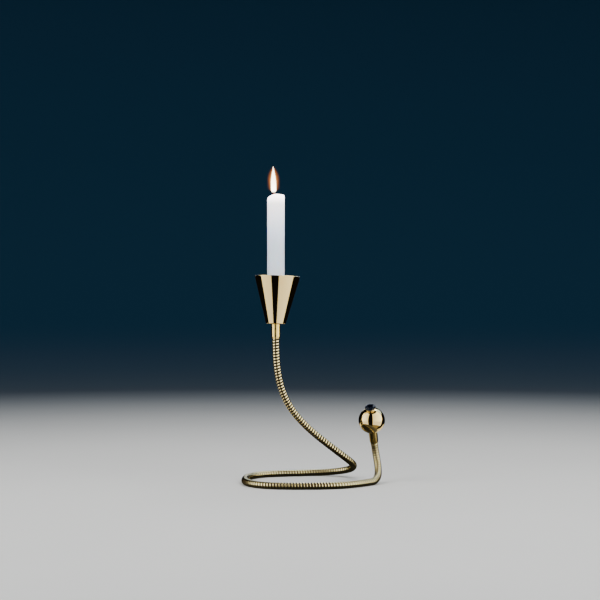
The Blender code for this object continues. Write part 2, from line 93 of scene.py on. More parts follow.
BLACK = (0.0, 0.0, 0.0, 1.0)


class Slot(Enum):
    """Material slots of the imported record."""

    POLISHED_BRASS = "polished_brass"
    NECK_BRASS = "neck_brass"
    PLATED_STEEL = "plated_steel"
    SPRING_STEEL = "spring_steel"
    WAX = "wax"
    WICK = "wick_cotton"
    FLAME = "flame"
    STONE = "dark_stone"


class Seen(Enum):
    """Which light a studio piece takes part in."""

    MIRRORED_ONLY = "mirrored_only"
    NOT_MIRRORED = "not_mirrored"


def linear(hex_colour: str) -> tuple[float, float, float, float]:
    """Turns a colour written as sRGB hex into the linear values that shaders take.

    Args:
        hex_colour: six hex digits after a hash.

    Returns:
        Linear red, green and blue, and an alpha of one.
    """
    channels = np.array([int(hex_colour[i:i + 2], 16) for i in (1, 3, 5)]) / 255.0
    low, high = channels / 12.92, ((channels + 0.055) / 1.055) ** 2.4
    return (*np.where(channels <= 0.04045, low, high).tolist(), 1.0)


def add_node(
    tree: bpy.types.NodeTree, kind: str, inputs: dict | None = None, **settings: object
) -> bpy.types.Node:
    """Adds one node, then sets its properties, its values and its links.

    Args:
        tree: the node tree that gets the node.
        kind: the node's type name.
        inputs: socket name or number to a plain value, or to the output that feeds it.
        **settings: the node's own properties, set before its sockets.

    Returns:
        The new node.
    """
    made = tree.nodes.new(kind)
    for key, value in settings.items():
        setattr(made, key, value)
    for key, value in (inputs or {}).items():
        if isinstance(value, bpy.types.NodeSocket):
            tree.links.new(value, made.inputs[key])
        else:
            made.inputs[key].default_value = value
    return made


def frame_matrix(axis: Sequence[float]) -> np.ndarray:
    """Turns a direction into three axes, with the third along it.

    The first axis is level: it is up x third, or +X where the third is upright itself. The
    second is third x first.

    Args:
        axis: the direction that the frame's own Z takes, of any length.

    Returns:
        A 3 by 3 array whose columns are the frame's axes.
    """
    third = np.array(axis, float) / np.linalg.norm(axis)
    level = np.array([-third[1], third[0], 0.0])
    tilt = np.linalg.norm(level)
    first = level / tilt if tilt > 0.0 else np.array([1.0, 0.0, 0.0])
    return np.stack([first, np.cross(third, first), third], axis=1)


@dataclass
class Surface:
    """A sheet of four-sided faces, with a pattern map and values kept per point."""

    points: np.ndarray
    quads: np.ndarray
    corners_uv: np.ndarray
    values: dict[str, np.ndarray] = field(default_factory=dict)

    @classmethod
    def from_grid(
        cls, points: np.ndarray, along: np.ndarray, row_step: int = 0, **values: np.ndarray
    ) -> Surface:
        """Makes a sheet from points on a grid whose last column meets its first.

        Face (i, j) joins points (i, j), (i, j+1), (i+1, j+1) and (i+1, j). Past the last
        column comes column 0, row_step rows further on, which is 0 for rings and one
        turn's rows for a screw.

        Args:
            points: rows by columns by 3.
            along: the pattern's second coordinate, rows by columns + 1.
            row_step: rows that the sheet climbs in one turn.
            **values: rows by columns arrays that are kept as attributes.

        Returns:
            The sheet.
        """
        rows, columns = points.shape[:2]
        row, column = np.meshgrid(np.arange(rows - 1), np.arange(columns), indexing="ij")

        def index(i: np.ndarray, j: np.ndarray) -> np.ndarray:
            """Number of point (i, j), with the wrap past the last column."""
            wrapped = np.minimum(i + row_step, rows - 1) * columns
            return np.where(j == columns, wrapped, i * columns + j)

        corner_rows = np.stack([row, row, row + 1, row + 1], axis=-1)
        corner_columns = np.stack([column, column + 1, column + 1, column], axis=-1)
        quads = index(corner_rows, corner_columns).reshape(-1, 4)
        across = corner_columns / columns
        uv = np.stack([across, along[corner_rows, corner_columns]], axis=-1)
        flat = {name: value.reshape(-1) for name, value in values.items()}
        return cls(points.reshape(-1, 3), quads, uv.reshape(-1, 4, 2), flat)

    @classmethod
    def joined(cls, parts: Iterable[Surface]) -> Surface:
        """Puts sheets side by side in one, with their point numbers moved on.

        Args:
            parts: sheets that keep values under the same names.

        Returns:
            One sheet with the faces of all.
        """
        parts = list(parts)
        starts = np.cumsum([0, *(len(part.points) for part in parts[:-1])])
        names = parts[0].values
        return cls(
            np.concatenate([part.points for part in parts]),
            np.concatenate([part.quads + start for part, start in zip(parts, starts)]),
            np.concatenate([part.corners_uv for part in parts]),
            {name: np.concatenate([part.values[name] for part in parts]) for name in names},
        )

    def made_object(
        self, name: str, finish: bpy.types.Material, sharp_degrees: float = 40.0
    ) -> bpy.types.Object:
        """Welds the sheet into a closed mesh and puts it in the scene.

        Args:
            name: the piece's name.
            finish: its material.
            sharp_degrees: edges that turn more than this stay crisp.

        Returns:
            The new object, at the origin.
        """
        mesh = bpy.data.meshes.new(name)
        mesh.vertices.add(len(self.points))
        mesh.loops.add(self.quads.size)
        mesh.polygons.add(len(self.quads))
        mesh.vertices.foreach_set("co", self.points.astype(np.float32).ravel())
        mesh.loops.foreach_set("vertex_index", self.quads.astype(np.int32).ravel())
        mesh.polygons.foreach_set("loop_start", np.arange(0, self.quads.size, 4, dtype=np.int32))
        uv = mesh.uv_layers.new(name="pattern")
        uv.data.foreach_set("uv", self.corners_uv.astype(np.float32).ravel())
        for key, value in self.values.items():
            kept = mesh.attributes.new(key, "FLOAT", "POINT")
            kept.data.foreach_set("value", value.astype(np.float32))
        mesh.update(calc_edges=True)
        welded = bmesh.new()
        welded.from_mesh(mesh)
        bmesh.ops.remove_doubles(welded, verts=welded.verts, dist=WELD_DISTANCE)
        bmesh.ops.recalc_face_normals(welded, faces=welded.faces)
        welded.to_mesh(mesh)
        welded.free()
        return put_in_scene(name, mesh, finish, sharp_degrees)


def put_in_scene(
    name: str, mesh: bpy.types.Mesh, finish: bpy.types.Material, sharp_degrees: float
) -> bpy.types.Object:
    """Links a mesh to the scene, smooth but for its sharp edges, with its material.

    Args:
        name: the piece's name.
        mesh: its mesh, in place.
        finish: its material.
        sharp_degrees: edges that turn more than this stay crisp.

    Returns:
        The new object, at the origin.
    """
    mesh.materials.append(finish)
    mesh.shade_smooth()
    mesh.set_sharp_from_angle(angle=math.radians(sharp_degrees))
    made = bpy.data.objects.new(name, mesh)
    bpy.context.scene.collection.objects.link(made)
    return made


def rounded(corners: Sequence[tuple[float, float, float]], steps: int = 5) -> np.ndarray:
    """Rounds the corners of an open outline.

    A corner with radius f becomes an arc that touches both sides: it starts and ends
    f / tan(half the corner's angle) from the corner, and its centre lies
    f / sin(half the angle) from it, on the line that halves the angle.

    Args:
        corners: (radius, height, rounding) of each corner.
        steps: straight pieces in each arc.

    Returns:
        The outline's (radius, height) points.
    """
    places = np.array([corner[:2] for corner in corners])
    found = [places[:1]]
    for before, corner, after, (_, _, size) in zip(places, places[1:], places[2:], corners[1:-1]):
        back, on = before - corner, after - corner
        back, on = back / np.linalg.norm(back), on / np.linalg.norm(on)
        half = math.acos(np.clip(back @ on, -1.0, 1.0)) / 2.0
        if size <= 0.0:
            found.append(corner[None])
            continue
        reach = size / math.tan(half)
        centre = corner + (back + on) / np.linalg.norm(back + on) * size / math.sin(half)
        first, last = corner + back * reach - centre, corner + on * reach - centre
        sweep = math.pi - 2.0 * half
        share = np.linspace(0.0, 1.0, steps + 1)[:, None]
        arc = np.sin((1 - share) * sweep) * first + np.sin(share * sweep) * last
        found.append(centre + arc / math.sin(sweep))
    found.append(places[-1:])
    return np.concatenate(found)


@dataclass(frozen=True)
class Lathe:
    """Turns outlines round an axis, as a lathe or a spinning block does."""

    foot: tuple[float, float, float]
    axis: tuple[float, float, float] = (0.0, 0.0, 1.0)
    sides: int = 128

    def place(self, local: np.ndarray) -> np.ndarray:
        """Takes points from the lathe's own frame to the world."""
        return local @ frame_matrix(self.axis).T + np.array(self.foot)

    def angles(self) -> np.ndarray:
        """Angles of the columns, from 0 up to but not including a full turn."""
        return np.arange(self.sides) * FULL_TURN / self.sides

    def turned(self, outline: np.ndarray, **values: np.ndarray) -> Surface:
        """Spins an outline: point (t, angle) is radius(t) cos, radius(t) sin, height(t).

        Args:
            outline: (radius, height) rows. A ring's last row is its first again.
            **values: numbers per outline row, kept as attributes.

        Returns:
            The turned sheet, in place.
        """
        return self.swept(outline[:, :1], outline[:, 1:], **values)

    def swept(self, radius: np.ndarray, height: np.ndarray, **values: np.ndarray) -> Surface:
        """Makes the sheet whose point (row, angle) has the given radius and height.

        The pattern's second coordinate is the distance along the outline.

        Args:
            radius: rows by sides, or rows by one.
            height: rows by sides, or rows by one.
            **values: numbers per row, or per point, kept as attributes.

        Returns:
            The sheet, in place.
        """
        turn = self.angles()[None, :]
        radius, height = np.broadcast_arrays(radius, height + 0.0 * turn)
        local = np.stack([radius * np.cos(turn), radius * np.sin(turn), height], axis=-1)
        steps = np.hypot(np.diff(radius[:, 0]), np.diff(height[:, 0]))
        along = np.concatenate([[0.0], np.cumsum(steps)])
        spread = {
            name: np.broadcast_to(value.reshape(len(radius), -1), radius.shape)
            for name, value in values.items()
        }
        along = np.repeat(along[:, None], self.sides + 1, axis=1)
        return Surface.from_grid(self.place(local), along, **spread)


@dataclass(frozen=True)
class Finish:
    """What every finish shares: a name, and a material that starts from its shader."""

    name: str

    def begin(self) -> tuple[bpy.types.Material, bpy.types.NodeTree, bpy.types.Node]:
        """Makes an empty material with a Principled shader.

        Returns:
            The material, its node tree and the shader.
        """
        made = bpy.data.materials.new(self.name)
        made.use_nodes = True
        return made, made.node_tree, made.node_tree.nodes["Principled BSDF"]


@dataclass(frozen=True)
class TurnedMetal(Finish):
    """Metal turned or spun on a lathe and buffed.

    Polished brass is a warm mirror. Lathe lines run round it, and buffing leaves soft
    cloudy patches that blur the reflections a little more.
    """

    colour: str
    warm_colour: str
    gloss: tuple[float, float]
    tilt: tuple[float, float, float] = (0.0, 0.0, 0.0)
    line_spacing: float = 0.35 * MM
    line_depth: float = 0.002 * MM
    line_strength: float = 0.35
    cloud_size: float = 14.0 * MM
    cloud_span: tuple[float, float] = (0.3, 0.7)

    def material(self) -> bpy.types.Material:
        """Lines are noise read by height alone, clouds are noise read in all directions.

        Returns:
            The material.
        """
        made, tree, shader = self.begin()
        place = add_node(tree, "ShaderNodeTexCoord").outputs["Object"]
        upright = add_node(tree, "ShaderNodeMapping", {"Vector": place, "Rotation": self.tilt})
        squeezed = add_node(
            tree, "ShaderNodeMapping",
            {"Vector": upright.outputs[0], "Scale": (0.0, 0.0, 1.0 / self.line_spacing)},
        )
        lines = add_node(
            tree, "ShaderNodeTexNoise",
            {"Vector": squeezed.outputs[0], "Scale": 1.0, "Detail": 2.0, "Roughness": 0.6},
        )
        clouds = add_node(
            tree, "ShaderNodeTexNoise",
            {"Vector": place, "Scale": 1.0 / self.cloud_size, "Detail": 4.0, "Roughness": 0.55},
        )
        tint = add_node(
            tree, "ShaderNodeMix",
            {0: clouds.outputs["Fac"], 6: linear(self.colour), 7: linear(self.warm_colour)},
            data_type="RGBA",
        )
        rough = add_node(
            tree, "ShaderNodeMapRange",
            {"Value": clouds.outputs["Fac"],
             "From Min": self.cloud_span[0], "From Max": self.cloud_span[1],
             "To Min": self.gloss[0], "To Max": self.gloss[1]},
        )
        bump = add_node(
            tree, "ShaderNodeBump",
            {"Height": lines.outputs["Fac"], "Strength": self.line_strength,
             "Distance": self.line_depth},
        )
        tree.links.new(tint.outputs[2], shader.inputs["Base Color"])
        tree.links.new(rough.outputs[0], shader.inputs["Roughness"])
        tree.links.new(bump.outputs[0], shader.inputs["Normal"])
        shader.inputs["Metallic"].default_value = 1.0
        return made


@dataclass(frozen=True)
class WoundWire(Finish):
    """Drawn wire wound close: bright on the crests, dull down in the grooves, which are painted dark as
    shade.

    Drawing leaves fine lines along the wire, which run round the neck. Handling keeps the crests
    polished and the grooves rougher, and the grooves' dark colour is painted shade.
    """

    crest_colour: str
    # painted shade: the colour that the grooves are darkened to
    groove_shade_colour: str
    gloss: tuple[float, float]
    groove_shade_span: tuple[float, float] = (0.03, 0.2)
    line_pitch: float = 0.06
    line_depth: float = 0.003 * MM
    line_strength: float = 0.3

    def material(self) -> bpy.types.Material:
        """The groove attribute, 0 on a crest and 1 in a groove, paints shade into the grooves; lines
        follow the map.

        A line's pitch is a share of the rib's, as the map counts ribs along the neck.

        Returns:
            The material.
        """
        made, tree, shader = self.begin()
        groove = add_node(tree, "ShaderNodeAttribute", attribute_name="groove").outputs["Fac"]
        pattern = add_node(tree, "ShaderNodeUVMap", uv_map="pattern").outputs["UV"]
        drawn = add_node(
            tree, "ShaderNodeMapping", {"Vector": pattern, "Scale": (1.0, 1.0 / self.line_pitch, 0.0)}
        )
        lines = add_node(
            tree, "ShaderNodeTexNoise",
            {"Vector": drawn.outputs[0], "Scale": 1.0, "Detail": 2.0, "Roughness": 0.5},
        )
        # painted shade, which takes over from the crest colour as the groove deepens
        painted_groove_shade = add_node(
            tree, "ShaderNodeMapRange",
            {"Value": groove, "From Min": self.groove_shade_span[0], "From Max": self.groove_shade_span[1]},
            interpolation_type="SMOOTHSTEP",
        )
        tint = add_node(
            tree, "ShaderNodeMix",
            {0: painted_groove_shade.outputs[0], 6: linear(self.crest_colour), 7: linear(self.groove_shade_colour)},
            data_type="RGBA",
        )
        rough = add_node(
            tree, "ShaderNodeMapRange",
            {"Value": groove, "To Min": self.gloss[0], "To Max": self.gloss[1]},
        )
        bump = add_node(
            tree, "ShaderNodeBump",
            {"Height": lines.outputs["Fac"], "Strength": self.line_strength,
             "Distance": self.line_depth},
        )
        tree.links.new(tint.outputs[2], shader.inputs["Base Color"])
        tree.links.new(rough.outputs[0], shader.inputs["Roughness"])
        tree.links.new(bump.outputs[0], shader.inputs["Normal"])
        shader.inputs["Metallic"].default_value = 1.0
        return made


@dataclass(frozen=True)
class PouredWax(Finish):
    """White candle wax, drawn and dipped: light sinks in and the surface is satin.

    A painted glow of emitted light lies over it: faint and bluish low down, strong and warm near
    the flame and at its crown. Where it has melted it is wet and clear.
    """

    colour: str
    molten_colour: str
    painted_deep_light: str
    painted_flame_light: str
    # painted light: the glow emitted by the wax is strongest at this height
    painted_glow_top: float
    # painted light: strength of the emitted glow, low down and near the flame
    glow: tuple[float, float] = (0.44, 2.0)
    painted_glow_length: float = 75.0 * MM
    painted_crown_glow: float = 4.0
    painted_crown_length: float = 14.0 * MM
    satin: float = 0.42
    wet: float = 0.08
    mottle_size: float = 5.0 * MM
    mottle_depth: float = 0.12 * MM
    mottle_strength: float = 0.25
    scatter: tuple[float, float, float] = (1.0, 0.8, 0.6)
    scatter_depth: float = 6.0 * MM
    ior: float = 1.44

    def material(self) -> bpy.types.Material:
        """Mottling is noise; the molten attribute wets the pool; height fades the painted glow of
        light.

        Returns:
            The material.
        """
        made, tree, shader = self.begin()
        place = add_node(tree, "ShaderNodeTexCoord").outputs["Object"]
        molten = add_node(tree, "ShaderNodeAttribute", attribute_name="molten").outputs["Fac"]
        mottle = add_node(
            tree, "ShaderNodeTexNoise",
            {"Vector": place, "Scale": 1.0 / self.mottle_size, "Detail": 3.0, "Roughness": 0.5},
        )
        height = add_node(tree, "ShaderNodeSeparateXYZ", {0: place}).outputs["Z"]
        painted_glow_share = add_node(
            tree, "ShaderNodeMapRange",
            {"Value": height, "From Min": self.painted_glow_top - self.painted_glow_length, "From Max": self.painted_glow_top},
            interpolation_type="SMOOTHSTEP",
        ).outputs[0]
        glow = add_node(
            tree, "ShaderNodeMapRange",
            {"Value": painted_glow_share, "To Min": self.glow[0], "To Max": self.glow[1]},
        )
        crown = add_node(
            tree, "ShaderNodeMapRange",
            {"Value": height, "From Min": self.painted_glow_top - self.painted_crown_length, "From Max": self.painted_glow_top,
             "To Max": self.painted_crown_glow},
            interpolation_type="SMOOTHSTEP",
        )
        strength = add_node(
            tree, "ShaderNodeMath", {0: glow.outputs[0], 1: crown.outputs[0]}, operation="ADD"
        )
        light = add_node(
            tree, "ShaderNodeMix",
            {0: painted_glow_share, 6: linear(self.painted_deep_light), 7: linear(self.painted_flame_light)},
            data_type="RGBA",
        )
        tint = add_node(
            tree, "ShaderNodeMix",
            {0: molten, 6: linear(self.colour), 7: linear(self.molten_colour)},
            data_type="RGBA",
        )
        rough = add_node(
            tree, "ShaderNodeMapRange", {"Value": molten, "To Min": self.satin, "To Max": self.wet}
        )
        bump = add_node(
            tree, "ShaderNodeBump",
            {"Height": mottle.outputs["Fac"], "Strength": self.mottle_strength,
             "Distance": self.mottle_depth},
        )
        tree.links.new(tint.outputs[2], shader.inputs["Base Color"])
        tree.links.new(rough.outputs[0], shader.inputs["Roughness"])
        tree.links.new(bump.outputs[0], shader.inputs["Normal"])
        # the emission is painted light, standing in for the flame's light inside the wax
        tree.links.new(strength.outputs[0], shader.inputs["Emission Strength"])
        tree.links.new(light.outputs[2], shader.inputs["Emission Color"])
        shader.inputs["Subsurface Weight"].default_value = 1.0
        shader.inputs["Subsurface Radius"].default_value = self.scatter
        shader.inputs["Subsurface Scale"].default_value = self.scatter_depth
        shader.inputs["IOR"].default_value = self.ior
        return made


@dataclass(frozen=True)
class CharredCotton(Finish):
    """Braided cotton wick: pale inside the wax, charred above it, glowing red to its tip."""

    cotton_colour: str
    char_colour: str
    ember_colour: str
    ember_glow: float
    char_end: float = 0.1
    ember_start: float = 0.05
    fibre_size: float = 0.4 * MM
    fibre_depth: float = 0.1 * MM
    fibre_strength: float = 0.6
    dullness: float = 0.9

    def material(self) -> bpy.types.Material:
        """The burnt attribute is 0 at the wax and 1 at the tip, and drives char and ember.

        Returns:
            The material.
        """
        made, tree, shader = self.begin()
        place = add_node(tree, "ShaderNodeTexCoord").outputs["Object"]
        burnt = add_node(tree, "ShaderNodeAttribute", attribute_name="burnt").outputs["Fac"]
        charred = add_node(tree, "ShaderNodeMapRange", {"Value": burnt, "From Max": self.char_end})
        ember = add_node(
            tree, "ShaderNodeMapRange",
            {"Value": burnt, "From Min": self.ember_start, "To Max": self.ember_glow},
        )
        fibres = add_node(
            tree, "ShaderNodeTexNoise",
            {"Vector": place, "Scale": 1.0 / self.fibre_size, "Detail": 3.0, "Roughness": 0.6},
        )
        tint = add_node(
            tree, "ShaderNodeMix",
            {0: charred.outputs[0], 6: linear(self.cotton_colour), 7: linear(self.char_colour)},
            data_type="RGBA",
        )
        bump = add_node(
            tree, "ShaderNodeBump",
            {"Height": fibres.outputs["Fac"], "Strength": self.fibre_strength,
             "Distance": self.fibre_depth},
        )
        tree.links.new(tint.outputs[2], shader.inputs["Base Color"])
        tree.links.new(bump.outputs[0], shader.inputs["Normal"])
        tree.links.new(ember.outputs[0], shader.inputs["Emission Strength"])
        shader.inputs["Emission Color"].default_value = linear(self.ember_colour)
        shader.inputs["Roughness"].default_value = self.dullness
        return made


@dataclass(frozen=True)
class BurningGas(Finish):
    """Candle flame: clear at its root, white where soot glows, orange and faint outside.

    The glow attribute is 1 where the gas is brightest and falls outwards.
    """

    faint_colour: str
    bright_colour: str
    strength: float
    opacity: float
    root: float
    tip: float
    clear_share: float = 0.2
    root_opacity: float = 0.15

    def material(self) -> bpy.types.Material:
        """The glow attribute sets colour and strength; height above the root, clearness.

        Returns:
            The material.
        """
        made, tree, shader = self.begin()
        place = add_node(tree, "ShaderNodeTexCoord").outputs["Object"]
        height = add_node(tree, "ShaderNodeSeparateXYZ", {0: place}).outputs["Z"]
        bright = add_node(tree, "ShaderNodeAttribute", attribute_name="glow").outputs["Fac"]
        filled = self.root + self.clear_share * (self.tip - self.root)
        clear = add_node(
            tree, "ShaderNodeMapRange",
            {"Value": height, "From Min": self.root, "From Max": filled,
             "To Min": self.root_opacity * self.opacity, "To Max": self.opacity},
            interpolation_type="SMOOTHSTEP",
        )
        tint = add_node(
            tree, "ShaderNodeMix",
            {0: bright, 6: linear(self.faint_colour), 7: linear(self.bright_colour)},
            data_type="RGBA",
        )
        glow = add_node(tree, "ShaderNodeMapRange", {"Value": bright, "To Max": self.strength})
        tree.links.new(tint.outputs[2], shader.inputs["Emission Color"])
        tree.links.new(glow.outputs[0], shader.inputs["Emission Strength"])
        tree.links.new(clear.outputs[0], shader.inputs["Alpha"])
        shader.inputs["Base Color"].default_value = BLACK
        shader.inputs["Specular IOR Level"].default_value = 0.0
        return made


@dataclass(frozen=True)
class CutStone(Finish):
    """Dark blue spinel, cut and polished: nearly black; a paler copy on its facet edges is a painted
    highlight.
    """

    colour: str
    depth_colour: str
    polish: tuple[float, float]
    shine: float
    cloud_size: float = 4.0 * MM
    cloud_swirl: float = 1.2
    ior: float = 1.72

    def material(self) -> bpy.types.Material:
        """Faint clouds of the depth colour lie under a clear polish.

        Returns:
            The material.
        """
        made, tree, shader = self.begin()
        place = add_node(tree, "ShaderNodeTexCoord").outputs["Object"]
        clouds = add_node(
            tree, "ShaderNodeTexNoise",
            {"Vector": place, "Scale": 1.0 / self.cloud_size, "Detail": 5.0,
             "Distortion": self.cloud_swirl},
        )
        tint = add_node(
            tree, "ShaderNodeMix",
            {0: clouds.outputs["Fac"], 6: linear(self.colour), 7: linear(self.depth_colour)},
            data_type="RGBA",
        )
        rough = add_node(
            tree, "ShaderNodeMapRange",
            {"Value": clouds.outputs["Fac"], "To Min": self.polish[0], "To Max": self.polish[1]},
        )
        tree.links.new(tint.outputs[2], shader.inputs["Base Color"])
        tree.links.new(rough.outputs[0], shader.inputs["Roughness"])
        shader.inputs["IOR"].default_value = self.ior
        shader.inputs["Specular IOR Level"].default_value = self.shine
        return made


@dataclass(frozen=True)
class MattePaint(Finish):
    """Matte paint of the studio, rolled on: pale by the set, dark blue away and up the wall."""

    colour: str
    shade_colour: str
    wall_colour: str
    fade: tuple[float, float]
    climb: float = 3.0
    patch_scale: float = 3.0
    grain_scale: float = 900.0
    grain_depth: float = 0.05 * MM
    grain_strength: float = 0.1
    dullness: float = 0.9

    def material(self) -> bpy.types.Material:
        """Broad noise shifts the tint, distance fades it to the wall's, fine noise is grain.

        Distance counts a step up the wall as climb times a step along the floor.

        Returns:
            The material.
        """
        made, tree, shader = self.begin()
        place = add_node(tree, "ShaderNodeTexCoord").outputs["Object"]
        broad, fine = (
            add_node(tree, "ShaderNodeTexNoise", {"Vector": place, "Scale": scale, "Detail": 2.0})
            for scale in (self.patch_scale, self.grain_scale)
        )
        tint = add_node(
            tree, "ShaderNodeMix",
            {0: broad.outputs["Fac"], 6: linear(self.colour), 7: linear(self.shade_colour)},
            data_type="RGBA",
        )
        climbed = add_node(
            tree, "ShaderNodeMapping", {"Vector": place, "Scale": (1.0, 1.0, self.climb)}
        )
        away = add_node(tree, "ShaderNodeVectorMath", {0: climbed.outputs[0]}, operation="LENGTH")
        rise = add_node(
            tree, "ShaderNodeMapRange",
            {"Value": away.outputs["Value"], "From Min": self.fade[0], "From Max": self.fade[1]},
            interpolation_type="SMOOTHSTEP",
        )
        faded = add_node(
            tree, "ShaderNodeMix",
            {0: rise.outputs[0], 6: tint.outputs[2], 7: linear(self.wall_colour)},
            data_type="RGBA",
        )
        bump = add_node(
            tree, "ShaderNodeBump",
            {"Height": fine.outputs["Fac"], "Strength": self.grain_strength,
             "Distance": self.grain_depth},
        )
        tree.links.new(faded.outputs[2], shader.inputs["Base Color"])
        tree.links.new(bump.outputs[0], shader.inputs["Normal"])
        shader.inputs["Roughness"].default_value = self.dullness
        shader.inputs["Specular IOR Level"].default_value = 0.0
        return made


def dress(
    piece: bpy.types.Object, body: str | None, replaced: Iterable[str]
) -> None:
    """Ties a finished piece to its body and the solids that it stands for.

    Args:
        piece: the finished mesh.
        body: the body that it rides on, or None for a piece across a joint, which rides on none.
        replaced: the solids that are hidden for it.
    """
    if body is not None:
        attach(piece, body)
    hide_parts(*replaced)
    LOG.info("%s: %d faces on %s", piece.name, len(piece.data.polygons), body or "a bend")


class Stop(NamedTuple):
    """A place that the neck passes through, in millimetres, with its direction there.

    The direction turns by degrees from +X towards +Y, and rises by degrees from level. The
    curve reaches this far back and on along it before it turns away.
    """

    place: tuple[float, float, float]
    turn: float
    rise: float
    back: float
    on: float


class Route:
    """Centre line of the neck, as smooth curves through listed stops.

    The neck's middle lies FLOOR over the table where it rests on it. Its tail end leans by
    degrees to the left and towards the viewer. Lengths here are millimetres.
    """

    FLOOR = 4.1
    LEAN_LEFT = 8.05
    LEAN_FORWARD = 30.5
    SAMPLES = 200

    def __init__(self) -> None:
        """Samples the curves and carries a normal along them that never twists."""
        axis = np.array([
            -math.tan(math.radians(self.LEAN_LEFT)), -math.tan(math.radians(self.LEAN_FORWARD)), 1.0
        ])
        self.tail_axis = axis / np.linalg.norm(axis)
        tail_turn = math.degrees(math.atan2(-self.tail_axis[1], -self.tail_axis[0]))
        tail_rise = -math.degrees(math.asin(self.tail_axis[2]))
        # From the tail ferrule down, round the loop by front, left and back, up to the cup
        stops = (
            Stop((77.3, 4.3, 50.0), tail_turn, tail_rise, 0.0, 33.0),
            Stop((70.3, -28.5, self.FLOOR), 226.5, 0.0, 26.5, 33.5),
            Stop((-13.2, -65.6, self.FLOOR), 180.0, 0.0, 47.0, 31.0),
            Stop((-85.0, -3.4, self.FLOOR), 90.0, 0.0, 60.0, 60.5),
            Stop((-16.2, 62.3, self.FLOOR), 15.7, 0.0, 25.0, 36.0),
            Stop((52.3, 33.5, 17.9), 262.0, 23.7, 29.0, 13.7),
            Stop((10.1, 7.2, 54.1), 189.0, 38.4, 39.0, 60.5),
            Stop((-46.4, -12.8, 180.8), 0.0, 90.0, 61.0, 0.0),
        )
        curves = [self.curve(start, end) for start, end in zip(stops, stops[1:])]
        self.points = np.concatenate([*curves, [stops[-1].place]]) * MM
        ahead = np.diff(self.points, axis=0)
        lengths = np.linalg.norm(ahead, axis=1)
        self.distance = np.concatenate([[0.0], np.cumsum(lengths)])
        self.length = float(self.distance[-1])
        unit = ahead / lengths[:, None]
        middle = unit[:-1] + unit[1:]
        middle /= np.linalg.norm(middle, axis=1)[:, None]
        self.tangents = np.concatenate([unit[:1], middle, unit[-1:]])
        self.normals = self.carried_normals(len(self.points) // 2)

    @classmethod
    def curve(cls, start: Stop, end: Stop) -> np.ndarray:
        """Cubic Bezier points between two stops, without the last one.

        With u = 1 - t the place is first u^3 + 3 leave u^2 t + 3 arrive u t^2 + last t^3.

        Args:
            start: the stop that the curve leaves.
            end: the stop that it comes to.

        Returns:
            SAMPLES by 3 points.
        """
        first, last = np.array(start.place), np.array(end.place)
        leave = first + cls.heading(start) * start.on
        arrive = last - cls.heading(end) * end.back
        t = (np.arange(cls.SAMPLES) / cls.SAMPLES)[:, None]
        u = 1.0 - t
        return first * u**3 + leave * 3 * u * u * t + arrive * 3 * u * t * t + last * t**3

    @staticmethod
    def heading(stop: Stop) -> np.ndarray:
        """Direction of the neck at a stop.

        Args:
            stop: the stop.

        Returns:
            A vector as long as one.
        """
        turn, rise = math.radians(stop.turn), math.radians(stop.rise)
        level = math.cos(rise)
        return np.array([math.cos(turn) * level, math.sin(turn) * level, math.sin(rise)])

    def carried_normals(self, start: int) -> np.ndarray:
        """Carries the upright normal at one station both ways along the line.

        At each station the last normal loses its part along the tangent and is made one
        unit long again, so that it turns with the line and never round it.

        Args:
            start: number of the station, on the table, where upright is square to the line.

        Returns:
            A normal for each station.
        """
        normals = np.zeros_like(self.tangents)
        normals[start] = (0.0, 0.0, 1.0)
        for order in (range(start + 1, len(normals)), range(start - 1, -1, -1)):
            normal = normals[start]
            for station in order:
                tangent = self.tangents[station]
                normal = normal - tangent * (normal @ tangent)
                normal = normal / np.linalg.norm(normal)
                normals[station] = normal
        return normals

    def at(self, distance: np.ndarray) -> tuple[np.ndarray, np.ndarray, np.ndarray]:
        """Place, tangent and normal at distances along the neck.

        Args:
            distance: any shape. Past either end the line runs on straight.

        Returns:
            Three arrays with a last axis of three.
        """
        inside = np.clip(distance, 0.0, self.length)

        def read(table: np.ndarray) -> np.ndarray:
            """Linear reading of each column of a table at the distances."""
            return np.stack([np.interp(inside, self.distance, table[:, k]) for k in range(3)], axis=-1)

        tangent, normal = read(self.tangents), read(self.normals)
        tangent = tangent / np.linalg.norm(tangent, axis=-1, keepdims=True)
        normal = normal - tangent * np.sum(normal * tangent, axis=-1, keepdims=True)
        normal = normal / np.linalg.norm(normal, axis=-1, keepdims=True)
        return read(self.points) + tangent * (distance - inside)[..., None], tangent, normal


